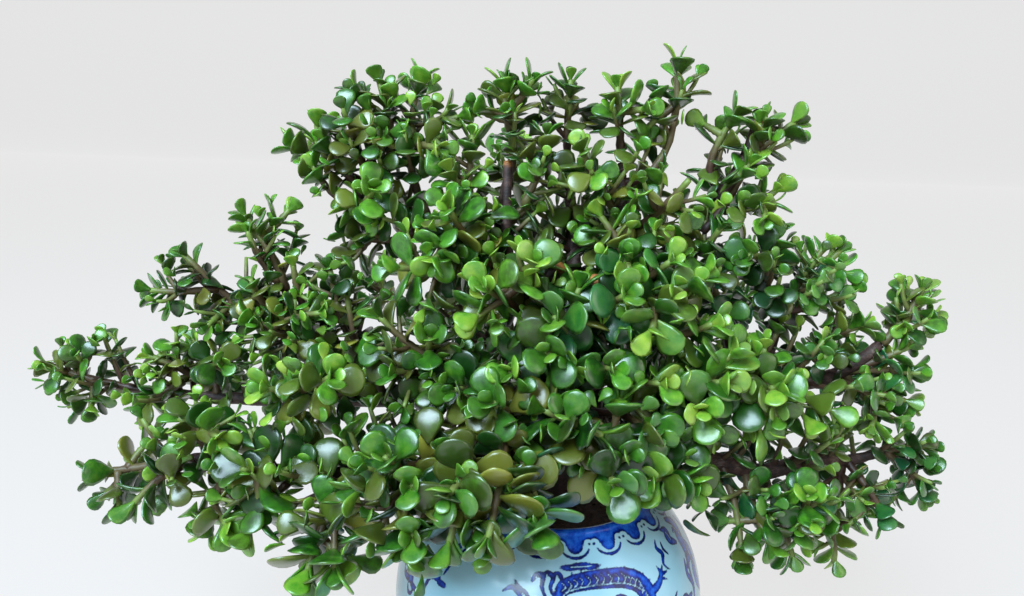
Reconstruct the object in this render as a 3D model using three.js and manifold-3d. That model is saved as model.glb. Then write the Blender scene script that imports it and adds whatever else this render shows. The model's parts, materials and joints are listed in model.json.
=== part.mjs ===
// A dwarf jade (Portulacaria afra) grown as a bonsai in a round blue and white porcelain jar.
// Millimetres, +Z up. The origin is the centre of the jar's flat foot, and the jar stands on z = 0.

import * as THREE from "three";
import { mergeVertices } from "three/addons/utils/BufferGeometryUtils.js";
import Module from "manifold-3d";

const wasm = await Module();
wasm.setup();

// Jar: a globe cut off by a wide mouth above and a plain flat foot below.
const JAR_HEIGHT = 125;
const BELLY_RADIUS = 80;
const BELLY_HEIGHT = 66;
const MOUTH_RADIUS = 50;
const FOOT_RADIUS = 50;
const FOOT_HEIGHT = 6;
const FOOT_BEVEL = 1.5;
const LIP_WIDTH = 4.5;
const LIP_BEVEL = 1.2;
const WALL = 6;
const JAR_FLOOR = 9;
const JAR_SIDES = 28;
const JAR_ARC_STEPS = 4;
const JAR_INNER_STEPS = 2;

// Soil: fills the jar to just under the lip, with a plain hole for the foot of the trunk.
const SOIL_TOP = 119;
const SOIL_EDGE_DROP = 2.5;
const SOIL_FLAT_RADIUS = 24;
const FIT_GAP = 0.3;

// Trunk: a short plug in the soil, a flare at the surface, and a stout base to the limbs.
const PLUG_RADIUS = 12.5;
const PLUG_DEPTH = 27;
const TRUNK_SIDES = 10;
const LIMB_SIDES = 5;
const LIMB_STEP = 24;

// Green shoots: square in section, so that each pair of leaves stands on two opposite faces.
const MAIN_SHOOT_RADIUS = 1.8;
const SIDE_SHOOT_RADIUS = 1.6;
const SIDE_SHOOT_START = 0.34;
const SIDE_SHOOT_SPACING = 0.14;
const FOOT_GAP_STEP = 0.1;
const WIDEST_FOOT_GAP = 0.95;
const SHOOT_BEND = 0.45;
const SHOOT_STEP = 16;
const SHOOT_CLEARANCE = 0.35;

// Leaves: opposite pairs, each pair crossing the next, small and upright at the tip.
const LEAF_HALF_WIDTH = 0.42;
const LEAF_SHOULDER = 0.52;
const LEAF_END_WIDTH = 0.62;
const LEAF_KEEL_PLACE = 0.5;
const LEAF_KEEL_DEPTH = 0.14;
const LEAF_SIZE_SPREAD = 0.14;
const LEAF_LEAN_SPREAD = 10;
const LEAF_SINK = 1.1;
const LEAF_CLEARANCE = 0.3;
const LEAF_FREE_START = 5;
const LEAF_PAIRS = [
  { back: 1.7, size: 0.76, lean: 34 },
  { back: 8.5, size: 1.02, lean: 60 },
  { back: 17.5, size: 1.06, lean: 74 },
];
const SIDE_SHOOT_PAIRS = 3;

// The trunk as rings of height, radius and sideways drift.
const TRUNK_RINGS = [
  { z: SOIL_TOP - PLUG_DEPTH, radius: PLUG_RADIUS, x: 0, y: 0 },
  { z: SOIL_TOP + FIT_GAP, radius: PLUG_RADIUS, x: 0, y: 0 },
  { z: SOIL_TOP + 2 * FIT_GAP, radius: 16.5, x: 0, y: 0 },
  { z: 126, radius: 14, x: 1, y: 0 },
  { z: 138, radius: 12, x: 3, y: 0 },
  { z: 152, radius: 12.5, x: 5, y: 1 },
  { z: 166, radius: 12, x: 7, y: 2 },
  { z: 180, radius: 9, x: 7, y: 3 },
  { z: 196, radius: 7, x: 6, y: 4 },
  { z: 208, radius: 5, x: 6, y: 4 },
];

// Limbs grow from the trunk or from each other, along points chosen by eye.
const LIMBS = {
  left_low: {
    radii: [5.5, 2.6],
    points: [[2, 0, 146], [-35, -20, 149], [-70, -32, 145], [-100, -36, 143], [-130, -35, 143],
      [-160, -31, 147], [-188, -30, 142]],
  },
  left_mid: {
    radii: [6, 2.5],
    points: [[5, 0, 163], [-25, 0, 172], [-50, 0, 174], [-75, 4, 167], [-115, 6, 164], [-165, 8, 162],
      [-205, 4, 166]],
  },
  left_up: {
    radii: [4, 2.5],
    points: [[-92, 5, 165], [-101, 8, 180], [-110, 8, 191], [-126, 6, 198], [-134, 3, 210], [-135, 0, 221]],
  },
  cut_stub: { radii: [4, 3.6], points: [[-99, 7, 176], [-103, 9, 196], [-106, 10, 209]] },
  crown_left: {
    radii: [6, 3],
    points: [[6, 4, 194], [-5, -6, 208], [-24, -10, 229], [-45, -5, 243], [-59, 0, 251], [-66, 0, 262]],
  },
  crown_far_left: { radii: [4, 2.5], points: [[-50, -3, 246], [-70, 3, 256], [-84, 3, 267], [-98, 2, 276]] },
  crown_centre: { radii: [4, 2.5], points: [[-21, -10, 226], [-28, -3, 245], [-31, 0, 262], [-27, 0, 284]] },
  crown_back: { radii: [4.5, 2.5], points: [[6, 4, 198], [8, 14, 225], [5, 18, 255], [1, 13, 288]] },
  crown_mid: {
    radii: [5, 2.5],
    points: [[7, 4, 196], [20, 4, 216], [28, 2, 240], [27, 0, 265], [25, 0, 290]],
  },
  crown_right: {
    radii: [6, 2.6],
    points: [[7, 3, 186], [25, -3, 213], [42, 3, 239], [58, 6, 252], [73, 5, 274], [82, 2, 288]],
  },
  right_mid: {
    radii: [7, 2.6],
    points: [[7, 0, 168], [30, -5, 171], [56, -6, 173], [90, -4, 183], [122, -1, 184], [143, 0, 191],
      [160, 0, 206]],
  },
  right_up: { radii: [4, 2.6], points: [[97, -3, 184], [105, 0, 203], [107, 0, 219], [113, 0, 232]] },
  right_low: {
    radii: [5.5, 2.6],
    points: [[4, 0, 149], [25, -12, 152], [48, -20, 155], [75, -20, 150], [102, -17, 143], [130, -8, 147],
      [152, 0, 143], [170, 0, 149]],
  },
  front_left: { radii: [4.5, 2.6], points: [[2, 0, 158], [-22, -25, 162], [-42, -42, 164], [-56, -52, 160]] },
  front_right: { radii: [4.5, 2.6], points: [[7, 0, 161], [14, -24, 167], [14, -42, 172]] },
  back_left: { radii: [5.5, 2.6], points: [[6, 2, 166], [-25, 35, 180], [-58, 62, 192], [-88, 80, 200]] },
  back_right: { radii: [5.5, 2.6], points: [[8, 3, 168], [38, 38, 180], [70, 63, 188], [96, 78, 196]] },
  back_low: { radii: [4.5, 2.6], points: [[4, 2, 152], [-5, 40, 153], [-20, 70, 150], [-36, 92, 150]] },
  back_low_right: { radii: [4.5, 2.6], points: [[6, 2, 150], [38, 33, 151], [76, 52, 146], [106, 59, 148]] },
  back_top: { radii: [4.5, 2.6], points: [[6, 4, 202], [0, 30, 222], [-12, 48, 245], [-20, 55, 262]] },
};

// Leafy sprays: the limb that each one grows from and how far along it, how long its full-grown
// leaves are, and where its shoots end. The first tip ends the main shoot, the others its side shoots.
const SPRAYS = [
  { name: "left_end", limb: "left_mid", at: 1, leaf: 14.5,
    tips: [[-259, -1, 181], [-230, -3, 193], [-230, -11, 162]] },
  { name: "left_outer", limb: "left_mid", at: 0.95, leaf: 14.5, tips: [[-204, 7, 185], [-203, -12, 158]] },
  { name: "left_sprig", limb: "left_up", at: 0.68, leaf: 14.5,
    tips: [[-187, 5, 238], [-203, 0, 220], [-173, -5, 204]] },
  { name: "left_shelf", limb: "left_mid", at: 0.86, leaf: 15.5, tips: [[-189, 13, 186], [-162, -17, 189]] },
  { name: "left_twin", limb: "left_up", at: 1, leaf: 13.5, tips: [[-154, -2, 259], [-133, 4, 262]] },
  { name: "left_twin_low", limb: "left_up", at: 0.88, leaf: 14.5,
    tips: [[-148, -13, 230], [-158, 11, 208]] },
  { name: "left_bank", limb: "left_up", at: 0.62, leaf: 15.5, tips: [[-150, -15, 212], [-112, -22, 217]] },
  { name: "left_front", limb: "left_mid", at: 0.57, leaf: 17, tips: [[-133, -41, 186], [-101, -51, 196]] },
  { name: "left_low_end", limb: "left_low", at: 1, leaf: 15.5,
    tips: [[-218, -33, 138], [-204, -40, 125], [-198, -23, 149]] },
  { name: "left_low_up", limb: "left_low", at: 0.88, leaf: 15.5,
    tips: [[-177, -32, 167], [-152, -49, 165]] },
  { name: "left_low_down", limb: "left_low", at: 0.84, leaf: 15.5,
    tips: [[-163, -40, 114], [-148, -54, 126]] },
  { name: "left_low_front", limb: "left_low", at: 0.7, leaf: 18,
    tips: [[-138, -60, 156], [-132, -57, 137]] },
  { name: "left_hang", limb: "left_low", at: 0.58, leaf: 18, tips: [[-108, -68, 116], [-95, -65, 117]] },
  { name: "front_left", limb: "front_left", at: 1, leaf: 18,
    tips: [[-73, -78, 172], [-85, -75, 156], [-65, -80, 135]] },
  { name: "front_corner", limb: "front_left", at: 0.84, leaf: 18,
    tips: [[-46, -93, 164], [-46, -88, 140]] },
  { name: "front_rim", limb: "front_left", at: 0.55, leaf: 18,
    tips: [[-30, -66, 192], [-30, -97, 149], [-8, -91, 149]] },
  { name: "front_middle", limb: "front_right", at: 1, leaf: 17, tips: [[-10, -59, 188], [16, -67, 180]] },
  { name: "front_right", limb: "front_right", at: 0.8, leaf: 18, tips: [[21, -72, 161], [24, -55, 193]] },
  { name: "right_rim", limb: "right_low", at: 0.3, leaf: 17, tips: [[60, -49, 151], [40, -57, 156]] },
  { name: "right_shoulder", limb: "right_mid", at: 0.36, leaf: 18, tips: [[60, -50, 187], [73, -44, 211]] },
  { name: "right_low_near", limb: "right_low", at: 0.54, leaf: 15.5,
    tips: [[100, -43, 119], [82, -32, 124]] },
  { name: "right_low_far", limb: "right_low", at: 0.67, leaf: 15.5,
    tips: [[117, -33, 116], [114, -45, 145]] },
  { name: "right_hang", limb: "right_low", at: 0.87, leaf: 15.5, tips: [[149, -6, 88], [159, -7, 117]] },
  { name: "right_low_end", limb: "right_low", at: 1, leaf: 13.5, tips: [[192, -2, 153], [195, 2, 142]] },
  { name: "right_mid_end", limb: "right_mid", at: 0.86, leaf: 14.5,
    tips: [[180, 2, 174], [172, 9, 187], [155, -12, 166]] },
  { name: "right_end", limb: "right_mid", at: 1, leaf: 14.5,
    tips: [[176, 0, 235], [185, 4, 216], [166, -7, 217]] },
  { name: "right_crook", limb: "right_mid", at: 0.78, leaf: 14.5, tips: [[133, -2, 208], [125, -18, 203]] },
  { name: "right_up_end", limb: "right_up", at: 1, leaf: 13.5, tips: [[127, 0, 254], [142, 3, 239]] },
  { name: "right_front", limb: "right_mid", at: 0.56, leaf: 17, tips: [[92, -45, 196], [127, -29, 180]] },
  { name: "crown_right_end", limb: "crown_right", at: 1, leaf: 13.5, tips: [[105, 0, 311], [92, 5, 311]] },
  { name: "crown_right_top", limb: "crown_right", at: 0.9, leaf: 13.5,
    tips: [[78, -1, 315], [64, 8, 309]] },
  { name: "crown_right_low", limb: "crown_right", at: 0.84, leaf: 15.5,
    tips: [[101, 1, 280], [91, -15, 267]] },
  { name: "right_gap", limb: "right_up", at: 0.8, leaf: 15.5, tips: [[101, -5, 260], [83, -22, 251]] },
  { name: "crown_tall", limb: "crown_mid", at: 0.9, leaf: 14.5, tips: [[48, 0, 337], [36, -2, 306]] },
  { name: "crown_mid_top", limb: "crown_mid", at: 1, leaf: 13.5, tips: [[21, -2, 324], [33, -10, 314]] },
  { name: "crown_back_top", limb: "crown_back", at: 1, leaf: 13.5, tips: [[0, 7, 327], [10, 22, 312]] },
  { name: "crown_centre_top", limb: "crown_centre", at: 1, leaf: 13.5,
    tips: [[-32, 0, 326], [-18, -4, 326], [-42, 5, 311]] },
  { name: "crown_left_top", limb: "crown_left", at: 1, leaf: 13.5,
    tips: [[-70, 2, 325], [-51, 0, 308], [-59, -18, 294]] },
  { name: "crown_far_left_top", limb: "crown_far_left", at: 0.85, leaf: 13.5,
    tips: [[-89, 0, 323], [-101, 2, 319], [-84, -15, 300]] },
  { name: "crown_left_end", limb: "crown_far_left", at: 1, leaf: 14.5,
    tips: [[-130, -2, 292], [-118, 0, 303]] },
  { name: "crown_left_low", limb: "crown_far_left", at: 0.7, leaf: 15.5,
    tips: [[-103, -11, 266], [-87, -27, 275]] },
  { name: "shoulder_left", limb: "crown_far_left", at: 0.4, leaf: 15.5,
    tips: [[-105, -3, 253], [-105, 4, 236]] },
  { name: "centre_left", limb: "crown_left", at: 0.7, leaf: 17, tips: [[-55, -31, 270], [-58, -41, 247]] },
  { name: "centre_bark", limb: "crown_left", at: 0.44, leaf: 17, tips: [[-15, -42, 247], [-40, -46, 223]] },
  { name: "centre_front", limb: "crown_left", at: 0.2, leaf: 18, tips: [[-8, -57, 212], [5, -40, 237]] },
  { name: "centre_mid", limb: "crown_mid", at: 0.6, leaf: 15.5, tips: [[26, -41, 246], [14, -22, 267]] },
  { name: "centre_right", limb: "crown_right", at: 0.46, leaf: 17, tips: [[36, -50, 221], [59, -38, 243]] },
  { name: "hollow_left", limb: "left_mid", at: 0.3, leaf: 17, tips: [[-60, -38, 211], [-84, -28, 218]] },
  { name: "back_left_end", limb: "back_left", at: 1, leaf: 15.5, tips: [[-121, 91, 211], [-102, 95, 222]] },
  { name: "back_left_mid", limb: "back_left", at: 0.72, leaf: 15.5,
    tips: [[-65, 76, 225], [-49, 94, 206]] },
  { name: "back_right_end", limb: "back_right", at: 1, leaf: 15.5, tips: [[127, 88, 206], [112, 92, 222]] },
  { name: "back_right_mid", limb: "back_right", at: 0.74, leaf: 15.5,
    tips: [[70, 73, 227], [54, 92, 204]] },
  { name: "back_low_end", limb: "back_low", at: 1, leaf: 17, tips: [[-60, 109, 147], [-41, 112, 165]] },
  { name: "back_low_right_end", limb: "back_low_right", at: 1, leaf: 15.5,
    tips: [[136, 58, 150], [119, 71, 163]] },
  { name: "back_top_end", limb: "back_top", at: 1, leaf: 14.5, tips: [[-27, 61, 297], [-48, 56, 276]] },
  { name: "back_crown", limb: "crown_back", at: 0.56, leaf: 15.5, tips: [[31, 41, 269], [8, 57, 248]] },
];

const COLOURS = {
  porcelain: { color: 0xb9d8e6, roughness: 0.12, metalness: 0 },
  soil: { color: 0x241813, roughness: 0.95, metalness: 0 },
  bark: { color: 0x4a2f26, roughness: 0.75, metalness: 0 },
  leaf: { color: 0x4d8a2c, roughness: 0.35, metalness: 0 },
  youngLeaf: { color: 0x76a63a, roughness: 0.35, metalness: 0 },
  shadeLeaf: { color: 0x2f6e3e, roughness: 0.35, metalness: 0 },
};

function vector(values) {
  return new THREE.Vector3(...values);
}

// The same small generator of even draws between 0 and 1 for every spray, from its own seed.
function draws(seed) {
  let state = seed;
  return () => {
    state = (state + 0x6d2b79f5) | 0;
    let mixed = Math.imul(state ^ (state >>> 15), 1 | state);
    mixed = (mixed + Math.imul(mixed ^ (mixed >>> 7), 61 | mixed)) ^ mixed;
    return ((mixed ^ (mixed >>> 14)) >>> 0) / 4294967296;
  };
}

function toSolid(geometry) {
  const bare = geometry.clone();
  bare.deleteAttribute("normal");
  bare.deleteAttribute("uv");
  const merged = mergeVertices(bare, 1e-4);
  return new wasm.Manifold(new wasm.Mesh({
    numProp: 3,
    vertProperties: new Float32Array(merged.getAttribute("position").array),
    triVerts: new Uint32Array(merged.getIndex().array),
  }));
}

function toGeometry(solid) {
  const mesh = solid.getMesh();
  const geometry = new THREE.BufferGeometry();
  geometry.setAttribute("position", new THREE.BufferAttribute(new Float32Array(mesh.vertProperties), 3));
  geometry.setIndex(new THREE.BufferAttribute(new Uint32Array(mesh.triVerts), 1));
  geometry.computeVertexNormals();
  return geometry;
}

function facetedGeometry(points, faces) {
  const geometry = new THREE.BufferGeometry();
  geometry.setAttribute("position", new THREE.Float32BufferAttribute(points.flatMap((p) => p.toArray()), 3));
  geometry.setIndex(faces.flat());
  return geometry;
}

// A closed skin over a row of rings, each with a centre, a radius and two directions across it.
function ringedGeometry(rings, sides) {
  const points = [];
  const faces = [];
  for (const ring of rings) {
    for (let k = 0; k < sides; k += 1) {
      const angle = ((k + 0.5) * 2 * Math.PI) / sides;
      points.push(ring.centre.clone()
        .addScaledVector(ring.across, Math.cos(angle) * ring.radius)
        .addScaledVector(ring.aside, Math.sin(angle) * ring.radius));
    }
  }
  for (let i = 0; i + 1 < rings.length; i += 1) {
    for (let k = 0; k < sides; k += 1) {
      const a = i * sides + k;
      const b = i * sides + ((k + 1) % sides);
      faces.push([a, b, b + sides], [a, b + sides, a + sides]);
    }
  }
  const last = (rings.length - 1) * sides;
  for (let k = 1; k + 1 < sides; k += 1) {
    faces.push([0, k + 1, k], [last, last + k, last + k + 1]);
  }
  return facetedGeometry(points, faces);
}

// Rings along a curve, carried without twist from a first sideways direction, with the radius
// tapering from start to end.
function ringsAlong(curve, radii, steps, firstAcross) {
  const rings = [];
  let across = firstAcross;
  for (let i = 0; i <= steps; i += 1) {
    const along = curve.getTangentAt(i / steps);
    across = across.clone().addScaledVector(along, -across.dot(along)).normalize();
    rings.push({
      centre: curve.getPointAt(i / steps),
      along,
      across,
      aside: along.clone().cross(across),
      radius: THREE.MathUtils.lerp(radii[0], radii[1], i / steps),
    });
  }
  return rings;
}

// A level direction across a curve's start.
function levelAcross(curve) {
  const along = curve.getTangentAt(0);
  const level = new THREE.Vector3(-along.y, along.x, 0);
  return level.length() > 0.1 ? level.normalize() : new THREE.Vector3(1, 0, 0);
}

function arc(centreX, centreY, radius, fromAngle, toAngle, steps) {
  const points = [];
  for (let i = 0; i <= steps; i += 1) {
    const angle = THREE.MathUtils.lerp(fromAngle, toAngle, i / steps);
    points.push(new THREE.Vector2(centreX + radius * Math.cos(angle), centreY + radius * Math.sin(angle)));
  }
  return points;
}

// The arc that leaves the belly's widest point upright and ends at a given radius and height.
function bellyArc(endRadius, endHeight, inset, steps) {
  const rise = endHeight - BELLY_HEIGHT;
  const run = BELLY_RADIUS - endRadius;
  const radius = (rise * rise + run * run) / (2 * run);
  const endAngle = Math.asin(rise / radius);
  return arc(BELLY_RADIUS - radius, BELLY_HEIGHT, radius - inset, 0, endAngle, steps);
}

function innerProfile(inset) {
  const shoulder = bellyArc(MOUTH_RADIUS, JAR_HEIGHT, WALL + inset, JAR_INNER_STEPS).slice(0, -1).reverse();
  const lower = bellyArc(FOOT_RADIUS, FOOT_HEIGHT, WALL + inset, JAR_INNER_STEPS).slice(1, -1);
  return [...shoulder, ...lower];
}

function jarGeometry() {
  const lipOuter = MOUTH_RADIUS;
  const lipInner = MOUTH_RADIUS - LIP_WIDTH;
  const profile = [
    new THREE.Vector2(0, 0),
    new THREE.Vector2(FOOT_RADIUS - FOOT_BEVEL, 0),
    new THREE.Vector2(FOOT_RADIUS, FOOT_BEVEL),
    ...bellyArc(FOOT_RADIUS, FOOT_HEIGHT, 0, JAR_ARC_STEPS).reverse(),
    ...bellyArc(lipOuter, JAR_HEIGHT - LIP_BEVEL, 0, JAR_ARC_STEPS).slice(1),
    new THREE.Vector2(lipOuter - LIP_BEVEL, JAR_HEIGHT),
    new THREE.Vector2(lipInner, JAR_HEIGHT),
    new THREE.Vector2(lipInner, SOIL_TOP - SOIL_EDGE_DROP),
    ...innerProfile(0),
    new THREE.Vector2(FOOT_RADIUS - WALL, JAR_FLOOR),
    new THREE.Vector2(0, JAR_FLOOR),
  ];
  return new THREE.LatheGeometry(profile, JAR_SIDES).rotateX(Math.PI / 2);
}

function soilGeometry() {
  const gap = 1.5 * FIT_GAP;
  const profile = [
    new THREE.Vector2(0, JAR_FLOOR + FIT_GAP),
    new THREE.Vector2(FOOT_RADIUS - WALL - gap, JAR_FLOOR + FIT_GAP),
    ...innerProfile(gap).reverse(),
    new THREE.Vector2(MOUTH_RADIUS - LIP_WIDTH - gap, SOIL_TOP - SOIL_EDGE_DROP),
    new THREE.Vector2(SOIL_FLAT_RADIUS, SOIL_TOP),
    new THREE.Vector2(0, SOIL_TOP),
  ];
  const bed = toSolid(new THREE.LatheGeometry(profile, JAR_SIDES).rotateX(Math.PI / 2));
  const hole = new THREE.CylinderGeometry(
    PLUG_RADIUS + FIT_GAP, PLUG_RADIUS + FIT_GAP, 2 * (PLUG_DEPTH + FIT_GAP), TRUNK_SIDES,
  ).rotateX(Math.PI / 2).translate(0, 0, SOIL_TOP);
  return toGeometry(bed.subtract(toSolid(hole)));
}

// Everything placed so far, so that nothing that comes later grows through it.
const occupied = [];

function occupy(geometry, owner) {
  geometry.computeBoundingBox();
  const place = { owner, box: geometry.boundingBox.clone(), solid: toSolid(geometry) };
  occupied.push(place);
  return place;
}

// Whether a shape crosses nothing but the places that it may touch.
function isClear(geometry, mayTouch) {
  geometry.computeBoundingBox();
  const near = occupied.filter((one) => !mayTouch(one) && one.box.intersectsBox(geometry.boundingBox));
  if (near.length === 0) {
    return true;
  }
  const solid = toSolid(geometry);
  const clear = near.every((one) => {
    const common = solid.intersect(one.solid);
    const empty = common.getMesh().triVerts.length === 0;
    common.delete();
    return empty;
  });
  solid.delete();
  return clear;
}

const limbRings = Object.fromEntries(Object.entries(LIMBS).map(([name, limb]) => {
  const curve = new THREE.CatmullRomCurve3(limb.points.map(vector));
  const steps = Math.max(Math.round(curve.getLength() / LIMB_STEP), 2);
  return [name, ringsAlong(curve, limb.radii, steps, levelAcross(curve))];
}));

function woodGeometry() {
  const pieces = [ringedGeometry(TRUNK_RINGS.map((ring) => ({
    centre: new THREE.Vector3(ring.x, ring.y, ring.z),
    across: new THREE.Vector3(1, 0, 0),
    aside: new THREE.Vector3(0, 1, 0),
    radius: ring.radius,
  })), TRUNK_SIDES)];
  for (const rings of Object.values(limbRings)) {
    pieces.push(ringedGeometry(rings, LIMB_SIDES));
  }
  pieces.forEach((piece) => occupy(piece, "wood"));
  return toGeometry(pieces.map(toSolid).reduce((all, piece) => all.add(piece)));
}

function swollen(rings, swell) {
  return rings.map((ring) => ({ ...ring, radius: ring.radius + swell }));
}

// Where a spray stands on its limb: on the flat end of it, or on the side that looks most towards
// the spray's first tip.
function footing(spray) {
  const rings = limbRings[spray.limb];
  if (spray.at === 1) {
    const end = rings.at(-1);
    return { centre: end.centre, heading: end.along };
  }
  const place = spray.at * (rings.length - 1);
  const from = rings[Math.floor(place)];
  const to = rings[Math.floor(place) + 1];
  const share = place - Math.floor(place);
  const centre = from.centre.clone().lerp(to.centre, share);
  const along = to.centre.clone().sub(from.centre).normalize();
  const across = from.across.clone().add(to.across);
  across.addScaledVector(along, -across.dot(along)).normalize();
  const aside = along.clone().cross(across);
  const towards = vector(spray.tips[0]).sub(centre);
  let heading = across;
  for (let k = 0; k < LIMB_SIDES; k += 1) {
    const angle = (k * 2 * Math.PI) / LIMB_SIDES;
    const face = across.clone().multiplyScalar(Math.cos(angle)).addScaledVector(aside, Math.sin(angle));
    heading = face.dot(towards) > heading.dot(towards) ? face : heading;
  }
  const half = Math.cos(Math.PI / LIMB_SIDES) * THREE.MathUtils.lerp(from.radius, to.radius, share);
  return { centre: centre.addScaledVector(heading, half), heading };
}

// A shoot leaves its foot along a heading and bends over, in one plane, to its tip. Its section is
// square to that plane, so that its sides are flat and every leaf root meets one of them.
function shootRings(foot, heading, tip, radius) {
  const reach = tip.clone().sub(foot);
  const bend = foot.clone().addScaledVector(heading, SHOOT_BEND * reach.length());
  const curve = new THREE.QuadraticBezierCurve3(foot, bend, tip);
  const steps = THREE.MathUtils.clamp(Math.round(curve.getLength() / SHOOT_STEP), 1, 3);
  const square = heading.clone().cross(reach);
  const level = square.length() > 0.5 ? square.normalize() : levelAcross(curve);
  return ringsAlong(curve, [radius, radius], steps, level);
}

// The main shoot stands off its limb by the least gap that clears it.
function mainShoot(spray) {
  const { centre, heading } = footing(spray);
  for (let gap = FIT_GAP; gap < WIDEST_FOOT_GAP; gap += FOOT_GAP_STEP) {
    const foot = centre.clone().addScaledVector(heading, gap);
    const rings = shootRings(foot, heading, vector(spray.tips[0]), MAIN_SHOOT_RADIUS);
    if (isClear(ringedGeometry(rings, 4), (one) => one.owner === spray.name)) {
      return rings;
    }
  }
  throw new Error(`${spray.name}: the main shoot crosses something`);
}

const TIP_NUDGES = [[0, 0, 0], [0, -6, 0], [0, 6, 0], [6, 0, 0], [-6, 0, 0], [0, 0, 6], [0, 0, -6],
  [0, -12, 4], [0, 12, 4], [12, 0, 4], [-12, 0, 4], [0, 0, 12], [0, 0, -12]];

// A side shoot stands on the face of the main shoot that looks most towards its tip. It reaches the
// tip, or a place a few millimetres aside of it, by the first way that crosses nothing.
function sideShoot(spray, mainRings, tip, order) {
  const mainLength = mainRings[0].centre.distanceTo(mainRings.at(-1).centre);
  const node = shootStation(mainRings, mainLength * (1 - SIDE_SHOOT_START - SIDE_SHOOT_SPACING * order));
  const towards = vector(tip).sub(node.centre);
  const faces = [node.across, node.aside, node.across.clone().negate(), node.aside.clone().negate()];
  const face = faces.reduce((best, one) => (one.dot(towards) > best.dot(towards) ? one : best));
  const level = node.along.clone().cross(face);
  for (const nudge of TIP_NUDGES) {
    const line = new THREE.LineCurve3(node.centre, vector(tip).add(vector(nudge)));
    const rings = ringsAlong(line, [SIDE_SHOOT_RADIUS, SIDE_SHOOT_RADIUS], 1, level);
    if (isClear(ringedGeometry(swollen(rings, SHOOT_CLEARANCE), 4), (one) => one.owner === spray.name)) {
      return rings;
    }
  }
  throw new Error(`${spray.name}: no clear way to ${tip}`);
}

// The first tip of a spray ends its main shoot, and the other tips end its side shoots.
function sprayShoots(spray) {
  const main = mainShoot(spray);
  const mainTwig = ringedGeometry(main, 4);
  const shoots = [{ rings: main, twig: mainTwig, place: occupy(mainTwig, spray.name) }];
  spray.tips.slice(1).forEach((tip, order) => {
    const rings = sideShoot(spray, main, tip, order);
    const twig = ringedGeometry(rings, 4);
    shoots.push({ rings, twig, place: occupy(twig, spray.name) });
  });
  return shoots;
}

// One leaf lying along +X with its root at the origin: flat above, keeled below, widest past the
// middle. Its upper root facet is a single triangle, so that it meets the twig with few edges.
function leafGeometry(length, swell) {
  const reach = length + 2 * swell;
  const wide = reach * LEAF_HALF_WIDTH + swell;
  const points = [
    new THREE.Vector3(-swell, 0, swell),
    new THREE.Vector3(LEAF_SHOULDER * reach, -wide, swell),
    new THREE.Vector3(reach - swell, -LEAF_END_WIDTH * wide, swell),
    new THREE.Vector3(reach - swell, LEAF_END_WIDTH * wide, swell),
    new THREE.Vector3(LEAF_SHOULDER * reach, wide, swell),
    new THREE.Vector3(LEAF_KEEL_PLACE * reach, 0, -LEAF_KEEL_DEPTH * length - swell),
  ];
  const above = [[0, 1, 4], [1, 2, 4], [2, 3, 4]];
  const below = [[1, 0, 5], [2, 1, 5], [3, 2, 5], [4, 3, 5], [0, 4, 5]];
  return facetedGeometry(points, [...above, ...below]);
}

// The place and directions on a shoot at a distance back from its tip.
function shootStation(rings, back) {
  let last = rings.length - 1;
  let remaining = back;
  while (last > 1 && remaining > rings[last].centre.distanceTo(rings[last - 1].centre)) {
    remaining -= rings[last].centre.distanceTo(rings[last - 1].centre);
    last -= 1;
  }
  const from = rings[last - 1];
  const to = rings[last];
  const share = 1 - Math.min(remaining / from.centre.distanceTo(to.centre), 1);
  const along = to.centre.clone().sub(from.centre).normalize();
  const across = to.across.clone().addScaledVector(along, -to.across.dot(along)).normalize();
  return {
    centre: from.centre.clone().lerp(to.centre, share),
    along,
    across,
    aside: along.clone().cross(across),
    radius: THREE.MathUtils.lerp(from.radius, to.radius, share),
  };
}

// Ways in which a leaf may turn aside to miss its neighbours: sideways swing, lean and size.
const LEAF_TURNS = [[0, 0, 1], [14, 0, 1], [-14, 0, 1], [0, 14, 1], [0, -14, 1], [24, 8, 1], [-24, 8, 1],
  [0, 22, 0.92], [18, -14, 0.9], [-18, -14, 0.9], [30, 0, 0.85], [-30, 0, 0.85], [0, 0, 0.75]];

function leafMatrix(station, side, lean, swing) {
  const outward = side.clone().applyAxisAngle(station.along, THREE.MathUtils.degToRad(swing));
  const leanAngle = THREE.MathUtils.degToRad(lean);
  const axis = station.along.clone().multiplyScalar(Math.cos(leanAngle))
    .addScaledVector(outward, Math.sin(leanAngle));
  const upper = station.along.clone().addScaledVector(axis, -station.along.dot(axis)).normalize();
  const width = upper.clone().cross(axis);
  const face = station.centre.clone().addScaledVector(side, station.radius * Math.SQRT1_2);
  const root = face.addScaledVector(axis, -LEAF_SINK);
  return new THREE.Matrix4().makeBasis(axis, width, upper).setPosition(root);
}

function placeLeaf(station, side, length, lean, shoot) {
  for (const [swing, tilt, size] of LEAF_TURNS) {
    const matrix = leafMatrix(station, side, lean + tilt, swing);
    const room = leafGeometry(length * size, LEAF_CLEARANCE).applyMatrix4(matrix);
    if (isClear(room, (one) => one === shoot.place)) {
      return leafGeometry(length * size, 0).applyMatrix4(matrix);
    }
  }
  return null;
}

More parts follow.
